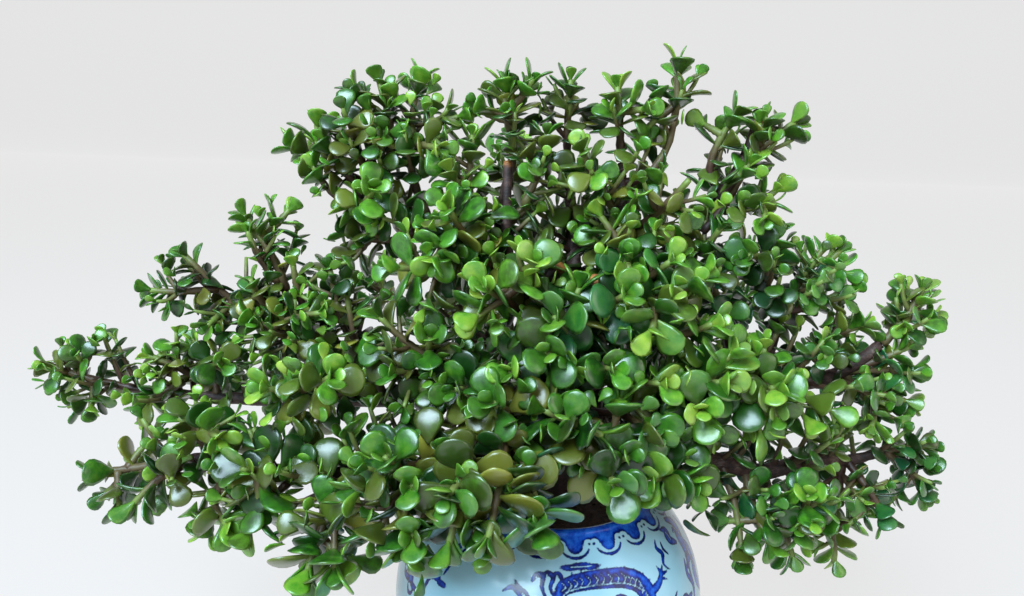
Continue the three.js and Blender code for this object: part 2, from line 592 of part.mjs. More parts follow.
function sprayLeaves(spray, shoots, random) {
  const leaves = [];
  shoots.forEach((shoot, order) => {
    const { rings } = shoot;
    const reach = rings[0].centre.distanceTo(rings.at(-1).centre);
    const firstSide = random() < 0.5 ? 0 : 1;
    const pairs = LEAF_PAIRS.slice(0, order === 0 ? LEAF_PAIRS.length : SIDE_SHOOT_PAIRS)
      .filter((pair) => pair.back < reach - LEAF_FREE_START);
    pairs.forEach((pair, index) => {
      const station = shootStation(rings, pair.back);
      const side = (index + firstSide) % 2 === 0 ? station.across : station.aside;
      for (const direction of [1, -1]) {
        const length = spray.leaf * pair.size * (1 + LEAF_SIZE_SPREAD * (random() - 0.5));
        const lean = pair.lean + LEAF_LEAN_SPREAD * (random() - 0.5);
        const leaf = placeLeaf(station, side.clone().multiplyScalar(direction), length, lean, shoot);
        if (leaf) {
          occupy(leaf, `leaf of ${spray.name}`);
          leaves.push(leaf);
        }
      }
    });
  });
  return leaves;
}

function meshOf(name, geometry, colour) {
  const mesh = new THREE.Mesh(geometry, new THREE.MeshStandardMaterial(COLOURS[colour]));
  mesh.name = name;
  return mesh;
}

const bonsai = new THREE.Group();
const jar = jarGeometry();
const soil = soilGeometry();
occupy(jar, "jar");
occupy(soil, "soil");
bonsai.add(meshOf("jar", jar, "porcelain"));
bonsai.add(meshOf("soil", soil, "soil"));
bonsai.add(meshOf("trunk_and_limbs", woodGeometry(), "bark"));

const grown = SPRAYS.map((spray) => ({ spray, shoots: sprayShoots(spray) }));
grown.forEach(({ spray, shoots }, index) => {
  const leaves = sprayLeaves(spray, shoots, draws(index + 1));
  const pieces = [...shoots.map((shoot) => shoot.twig), ...leaves];
  const solid = pieces.map(toSolid).reduce((all, piece) => all.add(piece));
  const colour = ["leaf", "youngLeaf", "shadeLeaf"][index % 3];
  bonsai.add(meshOf(`spray_${spray.name}`, toGeometry(solid), colour));
});

export default bonsai;
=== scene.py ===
import json
import math
import random

import bpy
import numpy as np
from mathutils import Matrix, Vector, noise

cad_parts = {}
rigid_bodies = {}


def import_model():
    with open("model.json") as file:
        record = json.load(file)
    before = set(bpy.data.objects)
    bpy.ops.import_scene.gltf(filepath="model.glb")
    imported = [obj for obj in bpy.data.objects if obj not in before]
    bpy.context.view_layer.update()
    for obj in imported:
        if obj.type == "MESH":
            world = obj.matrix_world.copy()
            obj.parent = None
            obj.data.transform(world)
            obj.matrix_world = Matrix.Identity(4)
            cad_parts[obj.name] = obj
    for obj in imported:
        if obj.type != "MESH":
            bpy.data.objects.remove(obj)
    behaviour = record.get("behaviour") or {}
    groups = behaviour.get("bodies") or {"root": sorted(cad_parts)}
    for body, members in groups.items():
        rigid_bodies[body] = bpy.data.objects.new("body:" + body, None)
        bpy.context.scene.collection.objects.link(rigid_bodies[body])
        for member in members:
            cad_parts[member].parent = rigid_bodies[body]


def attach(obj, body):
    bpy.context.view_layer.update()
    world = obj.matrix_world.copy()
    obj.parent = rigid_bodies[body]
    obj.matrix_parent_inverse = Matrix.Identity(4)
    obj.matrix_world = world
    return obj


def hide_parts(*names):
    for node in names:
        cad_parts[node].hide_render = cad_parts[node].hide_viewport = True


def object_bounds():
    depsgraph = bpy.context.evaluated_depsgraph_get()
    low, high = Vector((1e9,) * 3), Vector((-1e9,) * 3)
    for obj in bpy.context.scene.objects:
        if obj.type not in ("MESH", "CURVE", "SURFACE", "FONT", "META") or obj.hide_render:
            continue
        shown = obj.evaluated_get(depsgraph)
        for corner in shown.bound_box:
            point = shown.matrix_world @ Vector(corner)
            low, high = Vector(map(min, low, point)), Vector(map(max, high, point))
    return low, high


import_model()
cad_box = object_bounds()

# The viewpoint. The photograph is taken from close by, level with the crown and looking a little
# down into the jar's mouth, and the camera leans slightly to one side.
bpy.ops.object.select_all(action="DESELECT")
bpy.ops.object.camera_add(location=(-0.024, -0.355, 0.301), rotation=(math.pi / 2 - 0.218, 0, 0))
camera = bpy.context.object
camera.name = "camera"
camera.rotation_euler.rotate_axis("Z", 0.035)
# The picture is 1024 pixels wide, and its focal length is taken as 740 pixels.
SENSOR = 36
camera.data.sensor_width = SENSOR
camera.data.lens = SENSOR * 740 / 1024
camera.data.clip_start = 0.01
bpy.context.scene.camera = camera
bpy.context.scene.view_settings.view_transform = "Standard"


# The jar. A round-bellied porcelain jar, thrown on a wheel, painted with a brush in cobalt blue on
# the dry white body, then dipped in clear glaze and fired. The lip is wiped bare of glaze, so
# that the lid it was made for did not stick to it.
def linear(code):
    """An sRGB colour such as #8090a0 as the linear values of Blender's colour sockets."""
    shares = [int(code[k:k + 2], 16) / 255 for k in (1, 3, 5)]
    return [s / 12.92 if s <= 0.04045 else ((s + 0.055) / 1.055) ** 2.4 for s in shares] + [1]


def add(tree, kind, inputs, stops=None, **settings):
    """Adds a node with its settings, and sets its sockets or links them to other nodes' outputs."""
    node = tree.nodes.new("ShaderNode" + kind)
    for name, value in settings.items():
        setattr(node, name, value)
    for name, value in inputs.items():
        if isinstance(value, bpy.types.NodeSocket):
            tree.links.new(value, node.inputs[name])
        else:
            node.inputs[name].default_value = value
    for k, (place, code) in enumerate(stops or ()):
        stop = node.color_ramp.elements[k] if k < 2 else node.color_ramp.elements.new(place)
        stop.position = place
        stop.color = linear(code)
    return node


def new_material(name):
    """An empty material, its node tree, and the object's own coordinates in metres."""
    material = bpy.data.materials.new(name)
    material.use_nodes = True
    tree = material.node_tree
    tree.nodes.clear()
    place = add(tree, "TexCoord", {}).outputs["Object"]
    return material, tree, place


def marked(tree, name):
    """The number that a mesh keeps under a name for each of its points."""
    return add(tree, "Attribute", {}, attribute_name=name).outputs["Fac"]


def mottle(tree, place, scale, detail=2, roughness=0.5):
    """Uneven patches, smaller for a larger scale."""
    return add(tree, "TexNoise", {"Vector": place, "Scale": scale, "Detail": detail,
                                  "Roughness": roughness}).outputs["Fac"]


def maths(tree, operation, *values):
    """A sum, product or power of values."""
    return add(tree, "Math", dict(enumerate(values)), operation=operation).outputs[0]


def spread(tree, value, old, new, kind="LINEAR"):
    """A value carried from one range to another, and held at its ends."""
    ends = {"From Min": old[0], "From Max": old[1], "To Min": new[0], "To Max": new[1]}
    return add(tree, "MapRange", {"Value": value, **ends}, interpolation_type=kind).outputs["Result"]


def shades(tree, value, *stops):
    """A colour for each value, blended between the stops."""
    return add(tree, "ValToRGB", {"Fac": value}, stops=stops).outputs["Color"]


def blend(tree, share, one, other, **settings):
    """One colour that turns into the other as the share rises from 0 to 1."""
    return add(tree, "Mix", {0: share, 6: one, 7: other}, data_type="RGBA", **settings).outputs[2]


def relief(tree, value, strength, distance):
    """The lie of a surface that stands up where a value is high, by a distance in metres."""
    return add(tree, "Bump", {"Height": value, "Strength": strength, "Distance": distance}).outputs["Normal"]


def coat_with(tree, inputs):
    """Ends a material in a surface with these sockets."""
    surface = add(tree, "BsdfPrincipled", inputs)
    add(tree, "OutputMaterial", {"Surface": surface.outputs["BSDF"]})


def select_only(piece):
    """Makes a piece the only selected one and the active one."""
    bpy.ops.object.select_all(action="DESELECT")
    piece.select_set(True)
    bpy.context.view_layer.objects.active = piece


def face_outwards(threshold=0):
    """Turns the active mesh's faces outwards, after merging points closer than a threshold."""
    bpy.ops.object.mode_set(mode="EDIT")
    bpy.ops.mesh.select_all(action="SELECT")
    if threshold:
        bpy.ops.mesh.remove_doubles(threshold=threshold)
    bpy.ops.mesh.normals_make_consistent(inside=False)
    bpy.ops.object.mode_set(mode="OBJECT")


def walk(points):
    """Draws a chain of edges through points, from one vertex that is extruded step by step."""
    bpy.ops.mesh.primitive_plane_add(size=0.001, location=points[0])
    chain = bpy.context.object
    bpy.ops.object.mode_set(mode="EDIT")
    bpy.ops.mesh.select_all(action="SELECT")
    bpy.ops.mesh.merge(type="CENTER")
    for start, end in zip(points, points[1:]):
        step = [b - a for a, b in zip(start, end)]
        bpy.ops.mesh.extrude_vertices_move(TRANSFORM_OT_translate={"value": step})
    return chain


def bow(centre, radius, start, end, step):
    """Points in millimetres on an arc of the jar's profile, from one height to another."""
    angles = [math.asin((z - BELLY_HEIGHT) / radius) for z in (start, end)]
    count = max(2, round(abs(angles[1] - angles[0]) * radius / step))
    turns = [angles[0] + (angles[1] - angles[0]) * k / count for k in range(count + 1)]
    return [(centre + radius * math.cos(a), BELLY_HEIGHT + radius * math.sin(a)) for a in turns]


# The profile in millimetres, radius and height. Above the widest place the wall is an arc round a
# centre 9.3 mm off the axis, below it one round a centre 5 mm off, and the lip is rolled over.
BELLY_HEIGHT = 66
SHOULDER_CENTRE, SHOULDER_BOW = 9.3, 70.7
UNDERSIDE_CENTRE, UNDERSIDE_BOW = 5, 75
WALL = 6
outside = [(0, 0), (20, 0), (46.5, 0), (48.5, 0), (49.6, 0.5), (50, 1.6), (50, 4)]
outside += bow(UNDERSIDE_CENTRE, UNDERSIDE_BOW, 6, 65, 2.2)
outside += bow(SHOULDER_CENTRE, SHOULDER_BOW, BELLY_HEIGHT, 94, 0.95)
outside += bow(SHOULDER_CENTRE, SHOULDER_BOW, 94.6, 123.8, 0.62)
lip = [(49.75, 124.4), (49.3, 124.8), (48.6, 125), (47, 125.1), (46, 124.9), (45.6, 124.3), (45.5, 123)]
inside = [(45.5, 116.5)] + bow(SHOULDER_CENTRE, SHOULDER_BOW - WALL, 112, BELLY_HEIGHT, 7)
inside += bow(UNDERSIDE_CENTRE, UNDERSIDE_BOW - WALL, 60, 12, 7) + [(44, 9.5), (42, 9), (0, 9)]
profile = [(r / 1000, 0, z / 1000) for r, z in outside + lip + inside]
bpy.ops.object.select_all(action="DESELECT")
jar = walk(profile)
bpy.ops.object.mode_set(mode="OBJECT")
bpy.ops.object.transform_apply(location=True, rotation=True, scale=True)
bpy.ops.object.modifier_add(type="SCREW")
jar.modifiers[0].steps = 540
jar.modifiers[0].render_steps = 540
jar.modifiers[0].use_merge_vertices = True
jar.modifiers[0].merge_threshold = 0.00001
bpy.ops.object.modifier_apply(modifier=jar.modifiers[0].name)
face_outwards(0.00001)
bpy.ops.object.transform_apply(location=True, rotation=True, scale=True)
bpy.ops.object.shade_smooth_by_angle(angle=math.radians(50))
jar.name = "porcelain_jar"


def places(piece):
    """The points of a mesh in millimetres."""
    spots = np.empty(len(piece.data.vertices) * 3, np.float32)
    piece.data.vertices.foreach_get("co", spots)
    return spots.reshape(-1, 3) * 1000


def mark(piece, name, values):
    """Keeps one number for each point of a mesh, which its material reads."""
    marks = piece.data.attributes.new(name, "FLOAT", "POINT")
    marks.data.foreach_set("value", np.asarray(values, np.float32))


# The painting is kept on the jar as a depth of ink in millimetres: above 0 inside a brush stroke.
# A brush stroke is laid out by its angle from the front and its drop down the wall from the lip.
spots = places(jar)
radius = np.hypot(spots[:, 0], spots[:, 1])
height = spots[:, 2]
turn = np.arctan2(spots[:, 0], -spots[:, 1])
rise = height - BELLY_HEIGHT
# The lip stands 0.957 radians up the shoulder's arc, about 67.7 mm of wall above the widest place.
LIP_ANGLE = 0.957
BELLY_DROP = 67.7
above = SHOULDER_BOW * (LIP_ANGLE - np.arctan2(rise, radius - SHOULDER_CENTRE))
under = BELLY_DROP + UNDERSIDE_BOW * np.arctan2(-rise, radius - UNDERSIDE_CENTRE)
drop = np.where(rise > 0, above, under)
depth_above = np.hypot(rise, radius - SHOULDER_CENTRE) - SHOULDER_BOW
depth_under = np.hypot(rise, radius - UNDERSIDE_CENTRE) - UNDERSIDE_BOW
on_wall = (np.where(rise > 0, depth_above, depth_under) > -2) & (height > 1)


def aside(angle):
    """Millimetres round the wall from an angle in degrees, counted from the front."""
    return (np.remainder(turn - math.radians(angle) + math.pi, 2 * math.pi) - math.pi) * radius


def dab(angle, low, wide, tall):
    """An oval touch of the brush."""
    return (1 - np.hypot(aside(angle) / wide, (drop - low) / tall)) * min(wide, tall)


def stroke(marks, bend=5):
    """One brush stroke through marks of angle, drop and half width, rounded between them."""
    ends = [marks[0], *marks, marks[-1]]
    run = [marks[0]]
    for a, b, c, d in zip(ends, ends[1:], ends[2:], ends[3:]):
        for k in range(1, bend + 1):
            t = k / bend
            run.append([0.5 * (2 * q + (r - p) * t + (2 * p - 5 * q + 4 * r - s) * t * t
                               + (3 * q - p - 3 * r + s) * t ** 3) for p, q, r, s in zip(a, b, c, d)])
    ink = np.full(len(turn), -9.0)
    for (a, low, w), (b, lower, v) in zip(run, run[1:]):
        x, y = aside(a), drop - low
        along, down = math.radians(b - a) * radius, lower - low
        share = np.clip((x * along + y * down) / (along ** 2 + down ** 2 + 1e-6), 0, 1)
        ink = np.maximum(ink, w + (v - w) * share - np.hypot(x - share * along, y - share * down))
    return ink


# Under the lip runs a solid band with a border of 21 cloud-head lappets: a blue lobe, a white line
# that ends in two curls, and a thin outline.
LAPPETS = 21
BAND = 5.0
ink = BAND - drop
middles = [8.8 + k * 360 / LAPPETS for k in range(LAPPETS)]
for middle in middles:
    ink = np.maximum(ink, dab(middle, BAND, 3.7, 3.7))
for middle in middles:
    for side in (-1, 1):
        curl = middle + side * 6.9
        ink = np.minimum(ink, -dab(curl, 4.7, 2.3, 2.3))
        tail = [(curl, 6.4, 1.5), (middle + side * 5.2, 8.0, 1.0), (middle + side * 3, 9.4, 0.7)]
        ink = np.minimum(ink, -stroke(tail, 3))
        ink = np.maximum(ink, dab(curl + side * 0.5, 4.7, 0.75, 0.65))
    half = ((6.5, 7.0, 0.4), (5.2, 8.6, 0.55), (3.1, 9.9, 0.6))
    outline = [(middle - a, d, w) for a, d, w in half] + [(middle, 10.5, 0.75)]
    outline += [(middle + a, d, w) for a, d, w in half[::-1]]
    ink = np.maximum(ink, stroke(outline, 3))

# On the belly a dragon arches three times round the jar among clouds and flames, as such jars
# traditionally have it. Its brush strokes are lists of marks: the angle from the dragon's own
# place, the drop and the half width, which the body widens. A spine has its foot and how far its
# point lies ahead and above, a cloud its place, width and height, and a white line its two ends.
BACK = ((1, 27, 1.4), (3, 22.5, 1.9), (10, 20.4, 2.2), (19, 20.2, 2.4), (28, 21.8, 2.6), (34, 26, 2.7),
        (36, 33, 2.8), (31, 41, 2.9), (20, 46, 2.8), (8, 50, 2.6), (0, 57, 2.3), (3, 65, 1.9),
        (14, 69, 1.3), (24, 67, 0.5))
FULL_BODY = 1.75
SPINES = ((7, 18.6, -1.2, 2.2), (10.5, 18.2, -0.8, 2.4), (14, 17.9, -0.4, 2.4), (17.5, 17.8, 0.2, 2.5),
          (21, 18.2, 0.7, 2.4), (24.5, 18.8, 1.2, 2.4), (28, 19.4, 1.7, 2.3), (31.5, 21.3, 2.2, 2.0),
          (34.6, 24, 2.8, 1.4), (36.6, 27, 3, 0.8), (38.2, 31, 3, 0.2), (38, 35, 3, -0.4),
          (36, 39, 2.8, -1.2), (31, 44, 1.6, -2.2), (25, 47.4, 0.8, -2.4))
TUFTS_AND_FLAMES = (
    ((-9.5, 20.5, 0.8), (-8, 18, 1.3), (-5.4, 18.2, 1.2), (-5.6, 23, 0.9), (-3, 29, 0.5)),
    ((-6, 18.2, 0.9), (-3.6, 16.9, 1.3), (-1.4, 18.6, 1.1), (-2.4, 23, 0.8), (0, 28, 0.4)),
    ((-2, 18, 0.9), (0.4, 17, 1.2), (2, 19.4, 0.9), (0.6, 23.4, 0.7), (2.4, 26.4, 0.4)),
    ((-20, 27, 0.4), (-17, 24.6, 1.1), (-14, 26.6, 1.2), (-12, 30.8, 0.5)),
    ((-16.4, 21.4, 0.3), (-14.4, 24, 0.9), (-11, 26.4, 0.8), (-8, 32, 0.4)),
    ((52.8, 13, 0.3), (50.6, 16.4, 1.0), (52.4, 20, 1.3), (50, 24, 0.7), (52.6, 28, 0.3)),
    ((55.6, 15.2, 0.3), (54.6, 18.6, 0.8), (56, 22, 0.5)),
    ((76, 11.8, 0.4), (75, 16, 1.5), (71.6, 22, 2.0), (70.4, 29, 1.5), (67.4, 36, 1.2), (66.2, 46, 0.4)),
    ((78.6, 14, 0.3), (77.4, 19, 0.8), (75.2, 24, 1.0), (73.6, 31, 0.4)),
    ((-50, 18.4, 0.5), (-47.6, 17.4, 0.8), (-45.6, 19, 0.8), (-47.4, 20.4, 0.6), (-48.6, 19.4, 0.3)),
    ((-65, 47.4, 0.4), (-63, 50.6, 1.0), (-60.4, 49.4, 0.8), (-61, 46.8, 0.4)))
LEGS_AND_CLAWS = (
    ((34, 32, 2.2), (42, 30.5, 1.9), (46, 27, 1.3), (45.4, 23, 0.3)), ((46, 27, 1.2), (49, 23.8, 0.3)),
    ((46, 27, 1.2), (50.4, 27.4, 0.3)), ((45, 28, 1.0), (48.6, 30.6, 0.3)),
    ((10, 50, 2.0), (2, 47, 1.8), (-3.6, 50.4, 1.3), (-6.6, 48, 0.3)), ((-3.6, 50.4, 1.2), (-8, 51.6, 0.3)),
    ((-3.6, 50.4, 1.2), (-6.6, 55, 0.3)), ((-2.6, 51, 1.0), (-2.8, 56, 0.3)),
    ((40, 41, 0.3), (44.4, 38.6, 1.4), (48, 40.8, 1.2), (52, 38, 0.3)),
    ((43, 45, 0.3), (46, 43.6, 0.9), (49.6, 45, 0.3)),
    ((20, 31, 0.3), (23.6, 28.8, 1.2), (27, 31, 1.0), (24.6, 34.4, 0.3)),
    ((12, 36, 0.3), (15, 34, 0.9), (18.4, 36.4, 0.3)))
CLOUDS = ((5.6, 14.4, 4.6, 1.4), (10.4, 13.9, 5.0, 1.7), (14.6, 14.5, 4.4, 1.3), (-52.4, 34.8, 3.2, 1.5),
          (-49.2, 33.4, 2.8, 2.2), (-45.8, 34.9, 3.4, 1.5), (52, 46, 4.6, 1.7), (56, 44.4, 3.6, 2.3),
          (60, 46.2, 4.4, 1.5), (-24, 57, 4.4, 1.6), (-20, 55.4, 3.4, 2.3), (-16, 57.2, 4.4, 1.5),
          (-28, 40.6, 3.6, 1.4), (-24.6, 39.4, 2.6, 2.0))
HIGHLIGHTS = ((-8.2, 18.6, -6.6, 24), (-4, 17.6, -3.4, 25), (0.2, 17.8, -0.6, 24), (6, 14.2, 15, 14.2),
              (71.4, 20, 69, 32))


def shifted(marks, angle):
    """The same marks further round the jar."""
    return [(angle + a, *rest) for a, *rest in marks]


for third in (0, 120, 240):
    strokes = [stroke(shifted([(a, d, w * FULL_BODY) for a, d, w in BACK], third))]
    strokes += [stroke(shifted(((a, d, 0.95), (a + u, d - v, 0.25)), third), 1) for a, d, u, v in SPINES]
    strokes += [stroke(shifted(marks, third)) for marks in TUFTS_AND_FLAMES]
    strokes += [dab(third + a, d, w, t) for a, d, w, t in CLOUDS]
    ink = np.maximum.reduce([ink, *strokes])
    belly_line = stroke([(third + a * 0.97 + 0.5, d + 2.4, 0.26) for a, d, w in BACK])
    ink = np.minimum(ink, -belly_line)
    ink = np.maximum.reduce([ink] + [stroke(shifted(marks, third)) for marks in LEGS_AND_CLAWS])
    for (a, d, w), (b, e, _) in zip(BACK[1:-2], BACK[2:-1]):
        for share in (0, 0.34, 0.67):
            u, v = a + (b - a) * share, d + (e - d) * share
            scale = ((u - 0.9, v - w * 0.8, 0.2), (u + 0.5, v, 0.24), (u - 0.9, v + w * 0.8, 0.2))
            ink = np.minimum(ink, -stroke(shifted(scale, third), 2))
    for a, d, b, e in HIGHLIGHTS:
        ink = np.minimum(ink, -stroke(shifted(((a, d, 0.28), (b, e, 0.18)), third), 1))

# Between two dragons a bank of clouds rises from the belly, on either side of the jar.
CLOUD_BANK = (((61, 11.8, 0.6), (64.4, 14, 2.2), (63, 18, 2.6), (67, 22, 1.2)),
              ((72, 12, 1.4), (77, 18, 3.4), (73, 26, 4.2), (77, 35, 3.6), (72, 44, 3.8), (76, 54, 1.8)),
              ((84, 18, 0.8), (86, 28, 2.8), (83, 40, 2.4), (86, 50, 0.8)),
              ((66, 31, 0.6), (63.6, 37, 1.6), (66, 44, 1.8), (63, 52, 0.6)))
CLOUD_LINES = ((73, 16, 76, 24), (75, 30, 74, 40), (85.4, 26, 84.6, 38), (63.8, 14.6, 64, 19))
for side in (0, 178):
    for marks in CLOUD_BANK:
        ink = np.maximum(ink, stroke(shifted(marks, side)))
    for a, d, b, e in CLOUD_LINES:
        ink = np.minimum(ink, -stroke(shifted(((a, d, 0.35), (b, e, 0.2)), side), 1))

# Plain lines close the painting at the foot, and the band ends on top of the lip.
for low, half in ((118, 0.5), (120.4, 1.1), (126, 0.5)):
    ink = np.maximum(ink, half - np.abs(drop - low))
on_lip = (height > 123.7) & (radius > 46.7)
ink = np.where(on_lip, 2, np.where(on_wall & (drop > 0.1), ink, -9))
mark(jar, "ink", ink)
mark(jar, "bare", np.clip((46.9 - radius) / 0.4, 0, 1) * (height > 119) + (height < 0.3))

# Porcelain under clear glaze: a pale blue-white ground whose cyan is partly the glaze's own tint and
# partly a painted reflection of cool light, cobalt that pools darker at the edge of a stroke and thins
# out inside it, and a soft wet gloss. The bare lip is matt and grey-brown.
material, tree, place = new_material("cobalt_painted_porcelain")
depth = marked(tree, "ink")
wiped = marked(tree, "bare")
hand = mottle(tree, place, 900)
pool = mottle(tree, place, 260, 5, 0.62)
waver = maths(tree, "MULTIPLY_ADD", hand, 0.7, -0.35)
edge = maths(tree, "ADD", depth, waver)
inked = spread(tree, edge, (-0.3, 0.22), (0, 1), "SMOOTHSTEP")
core = spread(tree, depth, (0, 1.6), (-0.16, 0.16))
wash = maths(tree, "ADD", pool, core)
cobalt = shades(tree, wash, (0.34, "#061044"), (0.47, "#0a2374"), (0.58, "#103ca2"), (0.76, "#2362c0"))
cloudy = mottle(tree, place, 22, 3)
# The ground's cyan is partly the glaze's own and partly a painted reflection of cool light.
ground = shades(tree, cloudy, (0.3, "#86b4c4"), (0.7, "#a6c9d4"))
painted = blend(tree, inked, ground, cobalt)
biscuit = shades(tree, hand, (0.3, "#6b625c"), (0.7, "#948a80"))
colour = blend(tree, wiped, painted, biscuit)
gloss = spread(tree, wiped, (0, 1), (0.2, 0.6))
ripple = mottle(tree, place, 60)
swell = relief(tree, ripple, 0.12, 0.0006)
coat_with(tree, {"Base Color": colour, "Roughness": gloss, "IOR": 1.34, "Normal": swell,
                 "Coat Weight": 0.15, "Coat Roughness": 0.1})
jar.data.materials.append(material)
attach(jar, "root")
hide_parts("jar")


# The soil. Dark granular potting mix that fills the jar to the rim, slightly heaped at the trunk,
# pressed in by hand, with loose crumbs and grit on top.
bpy.ops.object.select_all(action="DESELECT")
RING_STEP = 0.00168
SOIL_REACH = 0.0452
bpy.ops.mesh.primitive_circle_add(vertices=72, radius=0.0456, fill_type="NGON")
soil = bpy.context.object
soil.name = "potting_soil"
bpy.ops.object.mode_set(mode="EDIT")
bpy.ops.mesh.select_all(action="SELECT")
for k in range(26):
    bpy.ops.mesh.inset(thickness=RING_STEP, depth=0)
bpy.ops.mesh.poke()
bpy.ops.mesh.select_all(action="SELECT")
bpy.ops.mesh.extrude_region_move(TRANSFORM_OT_translate={"value": (0, 0, 0)})
bpy.ops.object.mode_set(mode="OBJECT")
top = {v.index for v in soil.data.vertices if v.select}
for v in soil.data.vertices:
    spot = v.co.copy()
    reach = math.hypot(spot.x, spot.y) / SOIL_REACH
    if v.index in top:
        rough = noise.fractal(spot * 220, 0.7, 2.1, 4) * 0.0011 + noise.noise(spot * 60) * 0.0009
        v.co.z = 0.1186 + 0.0012 * (1 - reach ** 4) + rough * (1 - reach ** 12)
    else:
        v.co.z = 0.098
face_outwards()

# The crumbs: one broken grain, copied at many sizes over the soil.
bpy.ops.object.select_all(action="DESELECT")
bpy.ops.mesh.primitive_ico_sphere_add(subdivisions=2, radius=0.001)
grain = bpy.context.object
for v in grain.data.vertices:
    v.co *= 1 + 0.35 * noise.noise(v.co * 1400)
chance = random.Random(11)
crumbs = []
for k in range(260):
    angle, away = chance.uniform(0, 2 * math.pi), 0.0445 * math.sqrt(chance.uniform(0.1, 1))
    crumb = grain.copy()
    crumb.data = grain.data.copy()
    size = chance.uniform(0.35, 1.5) * chance.uniform(0.6, 1)
    turned = Matrix.Rotation(chance.uniform(0, 6), 4, (chance.random(), 0.4, chance.random()))
    lie = Matrix.Diagonal((1, chance.uniform(0.6, 1), chance.uniform(0.5, 0.8), 1))
    reach = away / SOIL_REACH
    spot = (away * math.cos(angle), away * math.sin(angle), 0.1188 + 0.0012 * (1 - reach ** 4))
    crumb.data.transform(Matrix.Translation(spot) @ turned @ lie @ Matrix.Scale(size, 4))
    bpy.context.collection.objects.link(crumb)
    crumbs.append(crumb)
bpy.data.objects.remove(grain)
for piece in [*crumbs, soil]:
    piece.select_set(True)
bpy.context.view_layer.objects.active = soil
bpy.ops.object.join()
bpy.ops.object.transform_apply(location=True, rotation=True, scale=True)
bpy.ops.object.shade_smooth_by_angle(angle=math.radians(60))

# Moist peat and grit, quite matt. One noise sets both colour and bump, so the soil's own dark and brown
# mix is near black in the bump's hollows between the crumbs, a painted shade, and brown on top of them.
material, tree, place = new_material("damp_peat_and_grit")
lumps = mottle(tree, place, 420, 6, 0.7)
# The darkest stops fall in the bump's hollows: painted shade on the soil's own brown mix.
colour = shades(tree, lumps, (0.32, "#20140f"), (0.5, "#3a261c"), (0.66, "#553a2a"), (0.8, "#6d5443"))
crumbly = relief(tree, lumps, 0.8, 0.0012)
coat_with(tree, {"Base Color": colour, "Roughness": 0.85, "Normal": crumbly})
soil.data.materials.append(material)
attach(soil, "root")
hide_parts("soil")


# The trunk and limbs. One living piece of soft, woody jade stem: a stout leaning trunk with a
# flared foot in the soil, from which thick limbs branch out to all sides. Old limbs that were
# sawn or broken off stand as short stubs with dry orange-brown ends.
def through(points, steps=10):
    """Points along the smooth centripetal curve through the given ones."""
    ends = [points[0] * 2 - points[1], *points, points[-1] * 2 - points[-2]]
    run = [points[0]]
    for a, b, c, d in zip(ends, ends[1:], ends[2:], ends[3:]):
        i, j, k = math.sqrt((b - a).length), math.sqrt((c - b).length), math.sqrt((d - c).length)
        leave = ((b - a) / i - (c - a) / (i + j) + (c - b) / j) * j
        arrive = ((c - b) / j - (d - b) / (j + k) + (d - c) / k) * j
        for n in range(1, steps + 1):
            t = n / steps
            run.append(b + leave * t + (c * 3 - b * 3 - leave * 2 - arrive) * t * t
                       + (b * 2 - c * 2 + leave + arrive) * t ** 3)
    return run


def tubes(name, runs, sides):
    """Round stems as one mesh: a curve of chains of points and radii, in millimetres, made solid."""
    curve = bpy.data.curves.new(name, "CURVE")
    curve.dimensions = "3D"
    curve.bevel_depth = 0.001
    curve.bevel_resolution = sides // 2 - 2
    curve.use_fill_caps = True
    for points, radii in runs:
        spline = curve.splines.new("POLY")
        spline.points.add(len(points) - 1)
        for knot, point, size in zip(spline.points, points, radii):
            knot.co = (*(point * 0.001), 1)
            knot.radius = size
    piece = bpy.data.objects.new(name, curve)
    bpy.context.collection.objects.link(piece)
    select_only(piece)
    bpy.ops.object.convert(target="MESH")
    face_outwards(0.0000004)
    return bpy.context.object


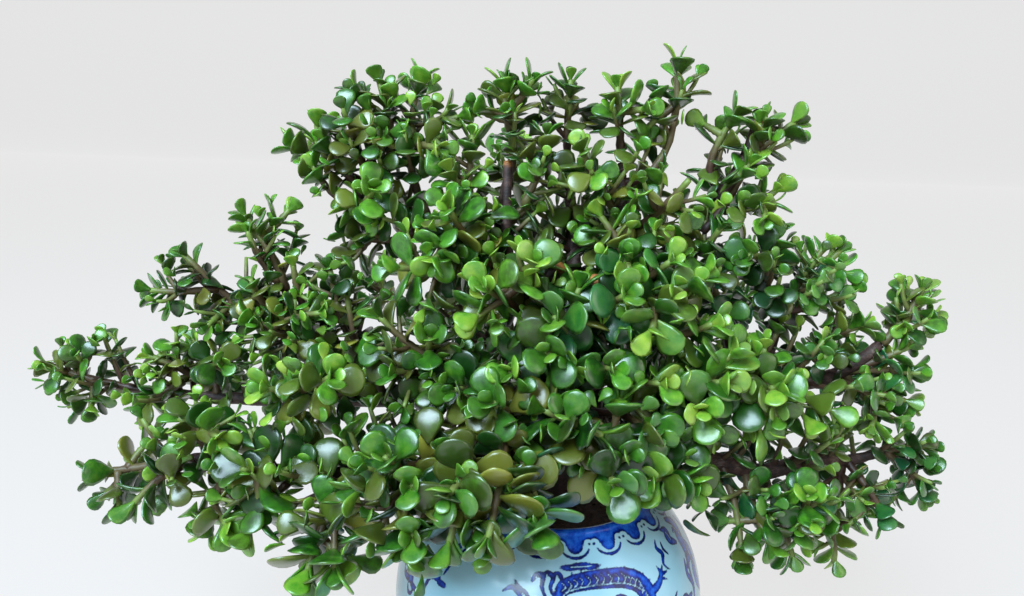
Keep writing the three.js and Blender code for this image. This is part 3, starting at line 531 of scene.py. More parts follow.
# The limbs, in millimetres: radius at the foot and at the tip, and points along the middle.
LIMBS = {
    "left_low": ((5.5, 2.6), (
        (2, 0, 146), (-35, -20, 149), (-70, -32, 145), (-100, -36, 143), (-130, -35, 143),
        (-160, -31, 147), (-188, -30, 142))),
    "left_mid": ((6, 2.5), (
        (5, 0, 163), (-25, 0, 172), (-50, 0, 174), (-75, 4, 167), (-115, 6, 164), (-165, 8, 162),
        (-205, 4, 166))),
    "left_up": ((4, 2.5), (
        (-92, 5, 165), (-101, 8, 180), (-110, 8, 191), (-126, 6, 198), (-134, 3, 210), (-135, 0, 221))),
    "cut_stub": ((4, 3.6), ((-99, 7, 176), (-103, 9, 196), (-106, 10, 209))),
    "crown_left": ((6, 3), (
        (6, 4, 194), (-5, -6, 208), (-24, -10, 229), (-45, -5, 243), (-59, 0, 251), (-66, 0, 262))),
    "crown_far_left": ((4, 2.5), ((-50, -3, 246), (-70, 3, 256), (-84, 3, 267), (-98, 2, 276))),
    "crown_centre": ((4, 2.5), ((-21, -10, 226), (-28, -3, 245), (-31, 0, 262), (-27, 0, 284))),
    "crown_back": ((4.5, 2.5), ((6, 4, 198), (8, 14, 225), (5, 18, 255), (1, 13, 288))),
    "crown_mid": ((5, 2.5), ((7, 4, 196), (20, 4, 216), (28, 2, 240), (27, 0, 265), (25, 0, 290))),
    "crown_right": ((6, 2.6), (
        (7, 3, 186), (25, -3, 213), (42, 3, 239), (58, 6, 252), (73, 5, 274), (82, 2, 288))),
    "right_mid": ((7, 2.6), (
        (7, 0, 168), (30, -5, 171), (56, -6, 173), (90, -4, 183), (122, -1, 184), (143, 0, 191),
        (160, 0, 206))),
    "right_up": ((4, 2.6), ((97, -3, 184), (105, 0, 203), (107, 0, 219), (113, 0, 232))),
    "right_low": ((5.5, 2.6), (
        (4, 0, 149), (25, -12, 152), (48, -20, 155), (75, -20, 150), (102, -17, 143), (130, -8, 147),
        (152, 0, 143), (170, 0, 149))),
    "front_left": ((4.5, 2.6), ((2, 0, 158), (-22, -25, 162), (-42, -42, 164), (-56, -52, 160))),
    "front_right": ((4.5, 2.6), ((7, 0, 161), (14, -24, 167), (14, -42, 172))),
    "back_left": ((5.5, 2.6), ((6, 2, 166), (-25, 35, 180), (-58, 62, 192), (-88, 80, 200))),
    "back_right": ((5.5, 2.6), ((8, 3, 168), (38, 38, 180), (70, 63, 188), (96, 78, 196))),
    "back_low": ((4.5, 2.6), ((4, 2, 152), (-5, 40, 153), (-20, 70, 150), (-36, 92, 150))),
    "back_low_right": ((4.5, 2.6), ((6, 2, 150), (38, 33, 151), (76, 52, 146), (106, 59, 148))),
    "back_top": ((4.5, 2.6), ((6, 4, 202), (0, 30, 222), (-12, 48, 245), (-20, 55, 262))),
}
# The trunk from the foot upwards: height, radius, x and y.
TRUNK = ((96, 12, 0, 0), (112, 12.6, 0, 0), (117, 14.5, 0, 0), (119.6, 16.8, 0, 0), (122.5, 15.2, 0.5, 0),
         (126, 13.9, 1, 0), (132, 12.6, 2, 0), (138, 12, 3, 0), (145, 12.4, 4, 0.5), (152, 12.6, 5, 1),
         (166, 12, 7, 2), (180, 9, 7, 3), (196, 7, 6, 4), (208, 5, 6, 4))
# The stubs that the solids leave out: three points along the middle, and the radius.
STUBS = (((-2, 2, 156), (-5, -14, 163), (-7, -22, 167), 5.5),
         ((-14, -8, 222), (-8, -20, 236), (-2, -25, 244), 3.6),
         ((20, -2, 206), (16, -20, 226), (13, -30, 240), 3.4),
         ((-45, -5, 243), (-49, -14, 252), (-52, -20, 259), 2.8),
         ((73, 5, 274), (82, 2, 290), (88, 0, 312), 2.6),
         ((-24, -10, 229), (-28, -8, 262), (-28, -4, 289), 2.6),
         ((-130, -35, 143), (-142, -38, 128), (-150, -38, 118), 2.6),
         ((90, -4, 183), (96, -16, 176), (100, -24, 172), 3))
chance = random.Random(3)
courses = {name: through([Vector(p) for p in points]) for name, (_, points) in LIMBS.items()}
runs = [([Vector((x, y, z)) for z, _, x, y in TRUNK], [r for _, r, _, _ in TRUNK])]
for name, ((thick, thin), _) in LIMBS.items():
    course = courses[name]
    sizes = [thick + (thin - thick) * k / (len(course) - 1) for k in range(len(course))]
    sizes = [size * (1.05 + 0.1 * noise.noise(p * 0.09)) for size, p in zip(sizes, course)]
    sizes[-1] *= 0.8
    runs.append((course, sizes))
for *points, size in STUBS:
    course = through([Vector(p) for p in points], 4)
    runs.append((course, [size * (1.15 - 0.2 * k / len(course)) for k in range(len(course))]))
wood = tubes("trunk_and_limbs_bark", runs, 12)
bpy.ops.object.modifier_add(type="REMESH")
wood.modifiers[0].mode = "VOXEL"
wood.modifiers[0].voxel_size = 0.0013
bpy.ops.object.modifier_apply(modifier=wood.modifiers[0].name)
bpy.ops.object.modifier_add(type="SMOOTH")
wood.modifiers[0].iterations = 6
bpy.ops.object.modifier_apply(modifier=wood.modifiers[0].name)
smooth = [(v.co.copy(), v.normal.copy()) for v in wood.data.vertices]
raised = []
for spot, outward in smooth:
    x, y, z = spot * 1000
    ridges = noise.fractal(Vector((x * 0.22, y * 0.22, z * 0.12)), 0.8, 2.0, 3)
    wrinkle = noise.noise(Vector((x * 0.15, y * 0.15, z * 0.9)))
    old = 1.0 if abs(x - 5) < 20 and abs(y) < 20 else 0.4
    raised += [*(spot + outward * (ridges * 0.0007 + wrinkle * 0.0004) * old)]
wood.data.vertices.foreach_set("co", raised)
select_only(wood)
bpy.ops.object.shade_smooth()
ends = [Vector(points[-1]) for *points, _ in STUBS] + [courses["cut_stub"][-1]]
spots = places(wood)
near = np.min([np.linalg.norm(spots - np.array(end), axis=1) for end in ends], axis=0)
mark(wood, "cut", np.clip((4.5 - near) / 2.5, 0, 1))

# Jade bark: smooth purple-brown skin that greys and wrinkles with age, with pale corky patches
# and fine rings across the limb. It is almost matt. Cut ends are dry and orange-brown.
material, tree, place = new_material("aged_jade_bark")
patch = mottle(tree, place, 130, 5, 0.6)
bark = shades(tree, patch, (0.34, "#241815"), (0.46, "#3f2a25"), (0.58, "#5a4038"), (0.68, "#7d6c62"))
squash = add(tree, "Mapping", {"Vector": place, "Scale": (1, 1, 3.2)}).outputs["Vector"]
rings = mottle(tree, squash, 420, 4, 0.65)
lines = shades(tree, rings, (0.35, "#6a5c56"), (0.55, "#ffffff"))
ringed = blend(tree, 0.8, bark, lines, blend_type="MULTIPLY")
cut = marked(tree, "cut")
dry = shades(tree, rings, (0.3, "#7a4720"), (0.7, "#c08040"))
colour = blend(tree, cut, ringed, dry)
ridged = relief(tree, rings, 0.6, 0.0006)
coat_with(tree, {"Base Color": colour, "Roughness": 0.62, "Normal": ridged})
wood.data.materials.append(material)
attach(wood, "root")
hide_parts("trunk_and_limbs")


# The leafy sprays. Soft green shoots that brown and turn woody with age, with fleshy rounded
# leaves in opposite pairs, each pair square to the last, dense at the tips. Each spray grows from
# its own place on a limb, forks at its nodes, and ends in small upright young pairs.
def station(points, back):
    """The place and direction on a chain of points at a distance back from its tip."""
    for end, start in zip(points[::-1], points[-2::-1]):
        length = (end - start).length
        if back <= length or start is points[0]:
            return end.lerp(start, min(back / length, 1)), (end - start).normalized()
        back -= length


def length_of(points):
    """The length of a chain of points."""
    return sum((b - a).length for a, b in zip(points, points[1:]))


def leaf_model(name, outline, fold, arch):
    """A thick leaf of unit length along X, upper side up, from a round body that is shaped in rings."""
    bpy.ops.object.select_all(action="DESELECT")
    bpy.ops.mesh.primitive_uv_sphere_add(segments=8, ring_count=8, radius=0.5, rotation=(0, math.pi / 2, 0))
    model = bpy.context.object
    bpy.ops.object.transform_apply(location=True, rotation=True, scale=True)
    bpy.ops.object.mode_set(mode="EDIT")
    for ring, (x, half, thick) in enumerate(outline):
        old = -0.5 * math.cos(math.pi * ring / 8)
        round_half = max(0.5 * math.sin(math.pi * ring / 8), 0.001)
        bpy.ops.object.mode_set(mode="OBJECT")
        for v in model.data.vertices:
            v.select = abs(v.co.x - old) < 0.001
        for part in [*model.data.edges, *model.data.polygons]:
            part.select = all(model.data.vertices[k].select for k in part.vertices)
        bpy.ops.object.mode_set(mode="EDIT")
        if 0 < ring < 8:
            bpy.ops.transform.resize(value=(1, half / round_half, thick / round_half),
                                     center_override=(old, 0, 0))
        bpy.ops.transform.translate(value=(x - old + 10, 0, 4 * arch * x * (1 - x)))
    bpy.ops.mesh.select_all(action="SELECT")
    bpy.ops.transform.translate(value=(-10, 0, 0))
    bpy.ops.object.mode_set(mode="OBJECT")
    bpy.ops.object.transform_apply(location=True, rotation=True, scale=True)
    bpy.ops.object.shade_smooth()
    model.name = name
    rim = []
    for v in model.data.vertices:
        half_here = max(half for x, half, _ in outline if abs(x - v.co.x) < 0.06)
        rim.append(1.0 if abs(v.co.y) / max(0.02, half_here) > 0.97 or v.co.x > 0.98 else 0.0)
    mark(model, "rim", rim)
    mark(model, "blade", [v.co.x for v in model.data.vertices])
    for v in model.data.vertices:
        v.co.z += fold * abs(v.co.y)
    for kind in ("age", "tint"):
        mark(model, kind, [0] * len(model.data.vertices))
    return model


# Three leaves of unit length: distance from the stalk, half width and half thickness at each ring,
# and then how far the sides fold up and how far the leaf arches.
MODELS = [
    leaf_model("round_leaf", (
        (0, 0, 0), (0.09, 0.075, 0.045), (0.26, 0.2, 0.06), (0.46, 0.34, 0.068), (0.66, 0.41, 0.064),
        (0.82, 0.37, 0.056), (0.93, 0.25, 0.042), (0.985, 0.12, 0.028), (1, 0, 0)), 0.05, 0.06),
    leaf_model("spoon_leaf", (
        (0, 0, 0), (0.1, 0.06, 0.045), (0.28, 0.145, 0.06), (0.48, 0.255, 0.066), (0.68, 0.34, 0.062),
        (0.84, 0.325, 0.052), (0.94, 0.225, 0.04), (0.988, 0.11, 0.028), (1, 0, 0)), 0.1, 0.1),
    leaf_model("cupped_leaf", (
        (0, 0, 0), (0.09, 0.07, 0.045), (0.25, 0.175, 0.06), (0.43, 0.3, 0.068), (0.62, 0.38, 0.064),
        (0.78, 0.37, 0.056), (0.91, 0.265, 0.042), (0.98, 0.13, 0.028), (1, 0, 0)), 0.18, -0.03)]

# The pairs of leaves on a shoot: millimetres back from its tip, share of the full leaf's length,
# and degrees that they lean away from the shoot. The first row is the solids' own.
PAIRS = ((1.7, 0.76, 34), (8.5, 1.02, 60), (17.5, 1.06, 74))
FILLING_PAIRS = ((0.2, 0.5, 20), (4.8, 0.9, 50), (13, 1.04, 68), (22.5, 0.98, 78), (30, 0.9, 84),
                 (38, 0.84, 88))
TWIG_PAIRS = ((0.1, 0.5, 20), (1.6, 0.74, 38), (5.6, 0.92, 56), (10.5, 1.0, 68), (16, 0.98, 76),
              (22, 0.9, 82))
# How far a leaf's stalk is set into its shoot, in millimetres, so that nothing gapes.
SINK = 1.1

# Round openings through the foliage, from front to back: x, height and radius in millimetres. Only
# leaves of the solids stand in them.
OPEN_AIR = ((-164, 235, 17), (58, 297, 13), (62, 313, 11), (51, 280, 7), (-209, 151, 12), (154, 96, 10),
            (156, 226, 9), (-177, 240, 11), (-197, 151, 9), (-207, 106, 12), (-185, 103, 11), (-165, 105, 9),
            (-120, 94, 10), (-95, 92, 10), (152, 252, 9), (192, 193, 8), (6, 144, 17), (27, 136, 12),
            (16, 183, 10), (30, 186, 8), (-81, 125, 9), (-195, 118, 8), (-169, 112, 8), (73, 117, 9),
            (82, 133, 8), (171, 111, 8), (-116, 264, 8), (-173, 235, 9), (94, 99, 8))
low_corner, high_corner = [Vector(corner) * 1000 for corner in cad_box]
# The leaves' middles so far, in cubes of 8 mm.
cells = {}


def draws(seed):
    """The same even draws between 0 and 1 as the solids' leaves have."""
    state = seed

    def draw():
        nonlocal state
        state = (state + 0x6D2B79F5) & 0xFFFFFFFF
        mixed = (state ^ (state >> 15)) * (1 | state) & 0xFFFFFFFF
        mixed = ((mixed + ((mixed ^ (mixed >> 7)) * (61 | mixed) & 0xFFFFFFFF)) ^ mixed) & 0xFFFFFFFF
        return ((mixed ^ (mixed >> 14)) & 0xFFFFFFFF) / 4294967296
    return draw


def has_room(spot, gap):
    """True where no leaf is within a gap of a place, which is then taken."""
    cell = tuple(int(c // 8) for c in spot)
    for i in (-1, 0, 1):
        for j in (-1, 0, 1):
            for k in (-1, 0, 1):
                taken = cells.get((cell[0] + i, cell[1] + j, cell[2] + k), ())
                if any((other - spot).length < gap for other in taken):
                    return False
    cells.setdefault(cell, []).append(spot)
    return True


def clear_of_jar(spot, gap):
    """True outside the jar's wall and above the soil."""
    away = math.hypot(spot.x, spot.y)
    if spot.z > 126.5 + gap or away > 80 + gap:
        return True
    if away < 48:
        return spot.z > 121 + gap
    rise = spot.z - BELLY_HEIGHT
    wall = SHOULDER_CENTRE + math.sqrt(max(0, SHOULDER_BOW ** 2 - rise ** 2))
    return rise > 0 and away > wall + gap


def grow_leaf(spray, centre, along, side, length, lean, thick, age, gap):
    """Adds a leaf to a spray if it has room, by the solids' own rule of lean and sink.

    The gap is the room, in millimetres, that a leaf 14 mm long needs round its middle.
    """
    length *= 0.86 + 0.2 * min(max((-centre.y - 12) / 36, (centre.z - 225) / 90, 0), 1)
    lean = math.radians(lean)
    axis = along * math.cos(lean) + side * math.sin(lean)
    upper = (along - axis * along.dot(axis)).normalized()
    width = upper.cross(axis)
    root = centre + side * thick * 0.7 - axis * SINK
    for reach, half in ((1.0, 0.0), (0.65, 0.42), (0.65, -0.42)):
        spot = root + axis * length * reach + width * length * half
        inside_box = all(low + 0.4 < c < high - 0.4 for low, c, high in zip(low_corner, spot, high_corner))
        if not inside_box or not clear_of_jar(spot, 0.6):
            return
    middle = root + axis * length * 0.6
    if gap > 2 and any(math.hypot(middle.x - x, middle.z - z) < wide for x, z, wide in OPEN_AIR):
        return
    if has_room(middle, gap * length / 14):
        spray["leaves"].append((Matrix((axis, width, upper)).transposed() * length, root, age))


def square_frame(along, across):
    """Two directions square to a shoot and to each other."""
    across = (across - along * across.dot(along)).normalized()
    return across, along.cross(across)


def leafy(spray, shoot, pairs, leaf, first, chance, gap):
    """Opposite pairs along a shoot, each square to the one before."""
    points, across, thick = shoot
    reach = length_of(points)
    for order, (back, size, lean) in enumerate(pairs):
        if back > reach - 3:
            break
        centre, along = station(points, back)
        sides = square_frame(along, across)
        side = sides[(order + first) % 2]
        for direction in (1, -1):
            length = leaf * size * (1 + 0.16 * (chance.random() - 0.5))
            swung = Matrix.Rotation(chance.uniform(-0.25, 0.25), 3, along) @ (side * direction)
            age = min(1, back / 34 + chance.uniform(0, 0.12))
            grow_leaf(spray, centre, along, swung, length, lean + chance.uniform(-9, 9), thick, age, gap)


def keep_if_leafy(spray, shoot, leaf, chance):
    """Dresses a side twig. Its stem is drawn only where more than two of its leaves found room."""
    before = len(spray["leaves"])
    leafy(spray, shoot, TWIG_PAIRS, leaf, chance.randrange(2), chance, 7.2)
    if len(spray["leaves"]) > before + 2:
        spray["shoots"].append(shoot)


def twig(start, along, length, rise):
    """A young side twig: it leaves at its angle and turns up towards the light."""
    start = start + along * 0.3
    lift = Vector((0, 0, 1)) * rise
    middle = start + along * length * 0.5
    end = middle + (along + lift).normalized() * length * 0.5
    return [start.lerp(middle, t).lerp(middle.lerp(end, t), t) for t in (0, 0.25, 0.5, 0.75, 1)]


# The sprays of the solids: name, limb, share of the limb's length at which the spray starts, length
# of a full leaf in millimetres, and the tips of the shoots.
SPRAYS = (
    ("left_end", "left_mid", 1, 14.5, ((-259, -1, 181), (-230, -3, 193), (-230, -11, 162))),
    ("left_outer", "left_mid", 0.95, 14.5, ((-204, 7, 185), (-203, -12, 158))),
    ("left_sprig", "left_up", 0.68, 14.5, ((-187, 5, 238), (-203, 0, 220), (-173, -5, 204))),
    ("left_shelf", "left_mid", 0.86, 15.5, ((-189, 13, 186), (-162, -17, 189))),
    ("left_twin", "left_up", 1, 13.5, ((-154, -2, 259), (-133, 4, 262))),
    ("left_twin_low", "left_up", 0.88, 14.5, ((-148, -13, 230), (-158, 11, 208))),
    ("left_bank", "left_up", 0.62, 15.5, ((-150, -15, 212), (-112, -22, 217))),
    ("left_front", "left_mid", 0.57, 17, ((-133, -41, 186), (-101, -51, 196))),
    ("left_low_end", "left_low", 1, 15.5, ((-218, -33, 138), (-204, -40, 125), (-198, -23, 149))),
    ("left_low_up", "left_low", 0.88, 15.5, ((-177, -32, 167), (-152, -49, 165))),
    ("left_low_down", "left_low", 0.84, 15.5, ((-163, -40, 114), (-148, -54, 126))),
    ("left_low_front", "left_low", 0.7, 18, ((-138, -60, 156), (-132, -57, 137))),
    ("left_hang", "left_low", 0.58, 18, ((-108, -68, 116), (-95, -65, 117))),
    ("front_left", "front_left", 1, 18, ((-73, -78, 172), (-85, -75, 156), (-65, -80, 135))),
    ("front_corner", "front_left", 0.84, 18, ((-46, -93, 164), (-46, -88, 140))),
    ("front_rim", "front_left", 0.55, 18, ((-30, -66, 192), (-30, -97, 149), (-8, -91, 149))),
    ("front_middle", "front_right", 1, 17, ((-10, -59, 188), (16, -67, 180))),
    ("front_right", "front_right", 0.8, 18, ((21, -72, 161), (24, -55, 193))),
    ("right_rim", "right_low", 0.3, 17, ((60, -49, 151), (40, -57, 156))),
    ("right_shoulder", "right_mid", 0.36, 18, ((60, -50, 187), (73, -44, 211))),
    ("right_low_near", "right_low", 0.54, 15.5, ((100, -43, 119), (82, -32, 124))),
    ("right_low_far", "right_low", 0.67, 15.5, ((117, -33, 116), (114, -45, 145))),
    ("right_hang", "right_low", 0.87, 15.5, ((149, -6, 88), (159, -7, 117))),
    ("right_low_end", "right_low", 1, 13.5, ((192, -2, 153), (195, 2, 142))),
    ("right_mid_end", "right_mid", 0.86, 14.5, ((180, 2, 174), (172, 9, 187), (155, -12, 166))),
    ("right_end", "right_mid", 1, 14.5, ((176, 0, 235), (185, 4, 216), (166, -7, 217))),
    ("right_crook", "right_mid", 0.78, 14.5, ((133, -2, 208), (125, -18, 203))),
    ("right_up_end", "right_up", 1, 13.5, ((127, 0, 254), (142, 3, 239))),
    ("right_front", "right_mid", 0.56, 17, ((92, -45, 196), (127, -29, 180))),
    ("crown_right_end", "crown_right", 1, 13.5, ((105, 0, 311), (92, 5, 311))),
    ("crown_right_top", "crown_right", 0.9, 13.5, ((78, -1, 315), (64, 8, 309))),
    ("crown_right_low", "crown_right", 0.84, 15.5, ((101, 1, 280), (91, -15, 267))),
    ("right_gap", "right_up", 0.8, 15.5, ((101, -5, 260), (83, -22, 251))),
    ("crown_tall", "crown_mid", 0.9, 14.5, ((48, 0, 337), (36, -2, 306))),
    ("crown_mid_top", "crown_mid", 1, 13.5, ((21, -2, 324), (33, -10, 314))),
    ("crown_back_top", "crown_back", 1, 13.5, ((0, 7, 327), (10, 22, 312))),
    ("crown_centre_top", "crown_centre", 1, 13.5, ((-32, 0, 326), (-18, -4, 326), (-42, 5, 311))),
    ("crown_left_top", "crown_left", 1, 13.5, ((-70, 2, 325), (-51, 0, 308), (-59, -18, 294))),
    ("crown_far_left_top", "crown_far_left", 0.85, 13.5, ((-89, 0, 323), (-101, 2, 319), (-84, -15, 300))),
    ("crown_left_end", "crown_far_left", 1, 14.5, ((-130, -2, 292), (-118, 0, 303))),
    ("crown_left_low", "crown_far_left", 0.7, 15.5, ((-103, -11, 266), (-87, -27, 275))),
    ("shoulder_left", "crown_far_left", 0.4, 15.5, ((-105, -3, 253), (-105, 4, 236))),
    ("centre_left", "crown_left", 0.7, 17, ((-55, -31, 270), (-58, -41, 247))),
    ("centre_bark", "crown_left", 0.44, 17, ((-15, -42, 247), (-40, -46, 223))),
    ("centre_front", "crown_left", 0.2, 18, ((-8, -57, 212), (5, -40, 237))),
    ("centre_mid", "crown_mid", 0.6, 15.5, ((26, -41, 246), (14, -22, 267))),
    ("centre_right", "crown_right", 0.46, 17, ((36, -50, 221), (59, -38, 243))),
    ("hollow_left", "left_mid", 0.3, 17, ((-60, -38, 211), (-84, -28, 218))),
    ("back_left_end", "back_left", 1, 15.5, ((-121, 91, 211), (-102, 95, 222))),
    ("back_left_mid", "back_left", 0.72, 15.5, ((-65, 76, 225), (-49, 94, 206))),
    ("back_right_end", "back_right", 1, 15.5, ((127, 88, 206), (112, 92, 222))),
    ("back_right_mid", "back_right", 0.74, 15.5, ((70, 73, 227), (54, 92, 204))),
    ("back_low_end", "back_low", 1, 17, ((-60, 109, 147), (-41, 112, 165))),
    ("back_low_right_end", "back_low_right", 1, 15.5, ((136, 58, 150), (119, 71, 163))),
    ("back_top_end", "back_top", 1, 14.5, ((-27, 61, 297), (-48, 56, 276))),
    ("back_crown", "crown_back", 0.56, 15.5, ((31, 41, 269), (8, 57, 248))),
)

# First the shoots and leaves that the solids have, spray by spray, so that they keep their room.
sprays = []
for order, (name, limb, at, leaf, tips) in enumerate(SPRAYS):
    draw = draws(order + 1)
    course = courses[limb]
    total = length_of(course)
    centre, along = station(course, total * (1 - at))
    thick, thin = LIMBS[limb][0]
    tips = [Vector(tip) for tip in tips]
    heading = along
    if at < 1:
        towards = tips[0] - centre
        heading = (towards - along * towards.dot(along)).normalized()
    foot = centre + heading * (thick + (thin - thick) * at) * (0.2 if at < 1 else 0)
    reach = (tips[0] - foot).length
    bend = foot + heading * 0.45 * reach
    main = [foot.lerp(bend, t / 12).lerp(bend.lerp(tips[0], t / 12), t / 12) for t in range(13)]
    level = heading.cross(tips[0] - foot)
    level = level.normalized() if level.length > 0.5 else Vector((0, 0, 1)).cross(tips[0] - foot).normalized()
    spray = {"name": name, "limb": limb, "leaf": leaf, "tips": tips, "foot": foot,
             "leaves": [], "shoots": [(main, level, 1.8)]}
    for k, tip in enumerate(tips[1:]):
        node, along = station(main, reach * (0.34 + 0.14 * k))
        across, aslant = square_frame(along, level)
        face = max((across, aslant, -across, -aslant), key=lambda one: one.dot(tip - node))
        swell = face * 0.06 * (tip - node).length
        side = [node.lerp(tip, t / 10) + swell * math.sin(math.pi * t / 10) for t in range(11)]
        spray["shoots"].append((side, along.cross(face), 1.6))
    for points, across, thick in spray["shoots"]:
        spray["first"] = 0 if draw() < 0.5 else 1
        for index, (back, size, lean) in enumerate(PAIRS):
            if back >= (points[0] - points[-1]).length - 5:
                break
            centre, along = station(points, back)
            side = square_frame(along, across)[(index + spray["first"]) % 2]
            for direction in (1, -1):
                length = leaf * size * (1 + 0.14 * (draw() - 0.5))
                leaning = lean + 10 * (draw() - 0.5)
                age = min(1, back / 34)
                grow_leaf(spray, centre, along, side * direction, length, leaning, thick, age, 2)
    sprays.append(spray)

# Then the pairs between them, and the side twigs of the shoots with their own leaves.
for order, spray in enumerate(sprays):
    chance = random.Random(100 + order)
    leaf = spray["leaf"]
    for shoot in list(spray["shoots"]):
        points, across, thick = shoot
        tip = points[-1]
        over_jar = tip.y < -45 and tip.z < 175 and abs(tip.x) < 70
        leafy(spray, shoot, FILLING_PAIRS, leaf, spray["first"] + 1, chance, 3 if over_jar else 5.4)
        reach = length_of(points)
        back = 99 if over_jar else 14
        while back < reach - 3:
            centre, along = station(points, back)
            sides = square_frame(along, across)
            for side in (sides[0], -sides[0], sides[1], -sides[1]):
                if chance.random() < (0.6 if spray["tips"][0].y < -40 or centre.z > 255 else 0.4):
                    continue
                size = min(26, 8 + 0.42 * back) * chance.uniform(0.8, 1.2)
                away = (along * 0.6 + side * (0.55 if centre.z > 230 else 0.85)).normalized()
                twiglet = twig(centre, away, size, 0.9 if centre.z > 215 else 0.45)
                end = twiglet[-1]
                box = zip(low_corner, end, high_corner)
                inside_box = all(abs(c - low) > 6 and abs(c - high) > 6 for low, c, high in box)
                if clear_of_jar(end, 4) and inside_box:
                    level = across.cross(away) if abs(across.dot(away)) < 0.9 else along.cross(away)
                    keep_if_leafy(spray, (twiglet, level, 1.1), leaf * 0.95, chance)
            back += 7

# Longer shoots reach forward from the trunk and the feet of the limbs and close the middle, and a
# few fill out the tips. Each row names the spray that they join and the way of each shoot.
MIDDLE_SHOOTS = (
    ("centre_front", ((6, -4, 190), (2, -30, 214), (-6, -52, 226)),
     ((6, -4, 200), (18, -30, 226), (24, -48, 236))),
    ("centre_mid", ((7, -6, 180), (14, -34, 198), (20, -56, 206)),
     ((20, 0, 216), (34, -24, 236), (44, -40, 250))),
    ("centre_right", ((8, -8, 172), (30, -30, 190), (42, -50, 198)),
     ((30, -4, 205), (52, -30, 214), (64, -44, 224))),
    ("centre_bark", ((5, -8, 176), (-14, -34, 194), (-24, -54, 202)),
     ((-12, -8, 212), (-26, -34, 228), (-36, -52, 238))),
    ("front_middle", ((6, -10, 166), (4, -36, 184), (2, -58, 192)),
     ((8, -10, 168), (28, -38, 178), (38, -58, 178))),
    ("hollow_left", ((-20, -2, 171), (-38, -28, 186), (-48, -46, 190)),
     ((-50, 0, 174), (-66, -24, 190), (-76, -40, 196))),
    ("centre_left", ((-30, -8, 232), (-46, -26, 256), (-52, -38, 268)),
     ((-40, -6, 240), (-62, -26, 240), (-76, -36, 242))),
    ("crown_mid_top", ((27, 0, 262), (12, -14, 282), (4, -20, 296)),
     ((25, 0, 250), (44, -18, 272), (52, -26, 284))),
    ("right_shoulder", ((40, -6, 172), (58, -30, 192), (70, -46, 198)),
     ((56, -6, 173), (84, -30, 186), (96, -42, 194))),
    ("hollow_left", ((-85, -3, 180), (-105, -6, 205), (-112, -6, 236)),
     ((-85, -8, 172), (-98, -14, 202), (-102, -14, 224))),
    ("crown_left_top", ((-45, -5, 243), (-46, -6, 270), (-45, -6, 300)),
     ((-30, -5, 240), (-42, -10, 262), (-54, -16, 284))),
    ("crown_far_left_top", ((-90, -6, 268), (-98, -4, 292), (-102, -4, 312)),
     ((-84, -4, 276), (-88, -8, 296), (-92, -10, 310))),
    ("crown_centre_top", ((-20, -4, 268), (-13, -4, 286), (-11, -4, 302)),
     ((-26, 0, 296), (-30, -2, 312), (-31, -2, 324))),
    ("crown_right_low", ((66, -2, 258), (77, -4, 276), (83, -8, 292)),
     ((84, 0, 286), (87, -2, 298), (87, -4, 310))),
    ("crown_left_end", ((-96, -4, 270), (-106, -6, 284), (-113, -8, 296)),
     ((-100, -4, 262), (-112, -8, 274), (-118, -10, 284))),
    ("left_twin", ((-126, -2, 214), (-128, -6, 226), (-129, -8, 238)),
     ((-138, -2, 226), (-146, -6, 240), (-150, -8, 252))),
    ("right_gap", ((58, 6, 246), (66, -4, 250), (72, -12, 262)),
     ((90, -4, 184), (76, -8, 222), (67, -10, 250))),
    ("right_up_end", ((107, 0, 219), (124, 0, 224), (142, 0, 234)),
     ((107, 0, 222), (122, 0, 238), (134, 0, 252))),
    ("right_mid_end", ((143, 0, 191), (163, 0, 192), (180, 0, 194)),
     ((130, 0, 187), (152, -4, 184), (174, -6, 178))),
    ("front_left", ((-56, -52, 160), (-68, -66, 152), (-78, -78, 134)),
     ((-50, -48, 162), (-74, -62, 150), (-92, -68, 140))),
    ("left_low_down", ((-120, -36, 143), (-130, -50, 136), (-136, -62, 126)),
     ((-160, -31, 147), (-172, -34, 138), (-182, -36, 128))),
    ("left_hang", ((-100, -36, 143), (-104, -56, 130), (-108, -72, 114)),
     ((-96, -36, 143), (-98, -60, 132), (-95, -74, 118))),
    ("left_low_end", ((-188, -30, 142), (-204, -30, 136), (-216, -30, 126)),
     ((-170, -30, 146), (-182, -44, 142), (-192, -50, 132))),
    ("right_low_near", ((102, -17, 143), (110, -26, 124), (116, -32, 106)),
     ((80, -20, 150), (86, -32, 130), (88, -42, 112))),
    ("right_low_end", ((170, 0, 149), (184, 0, 138), (194, 0, 124)),
     ((150, 0, 144), (160, -14, 130), (166, -18, 116))),
    ("right_end", ((152, 0, 194), (162, -3, 200), (171, -5, 206)),
     ((128, 0, 206), (138, -4, 212), (148, -6, 217))),
    ("left_outer", ((-190, 4, 172), (-198, -2, 168), (-208, -6, 165)),
     ((-182, 4, 174), (-194, 0, 182), (-204, -2, 187))),
    ("front_corner", ((-40, -42, 162), (-46, -66, 153), (-46, -84, 161)),
     ((-36, -40, 160), (-40, -70, 144), (-35, -88, 148))),
    ("front_rim", ((-24, -28, 162), (-24, -56, 156), (-20, -78, 163)),
     ((-24, -28, 160), (-14, -60, 148), (-11, -84, 153))),
    ("front_left", ((-50, -48, 162), (-58, -68, 156), (-61, -86, 164)),
     ((-46, -46, 160), (-58, -72, 142), (-60, -90, 145))),
    ("front_middle", ((8, -26, 168), (4, -46, 170), (2, -62, 180)),
     ((10, -28, 166), (22, -50, 162), (27, -66, 170))))
by_name = {spray["name"]: spray for spray in sprays}
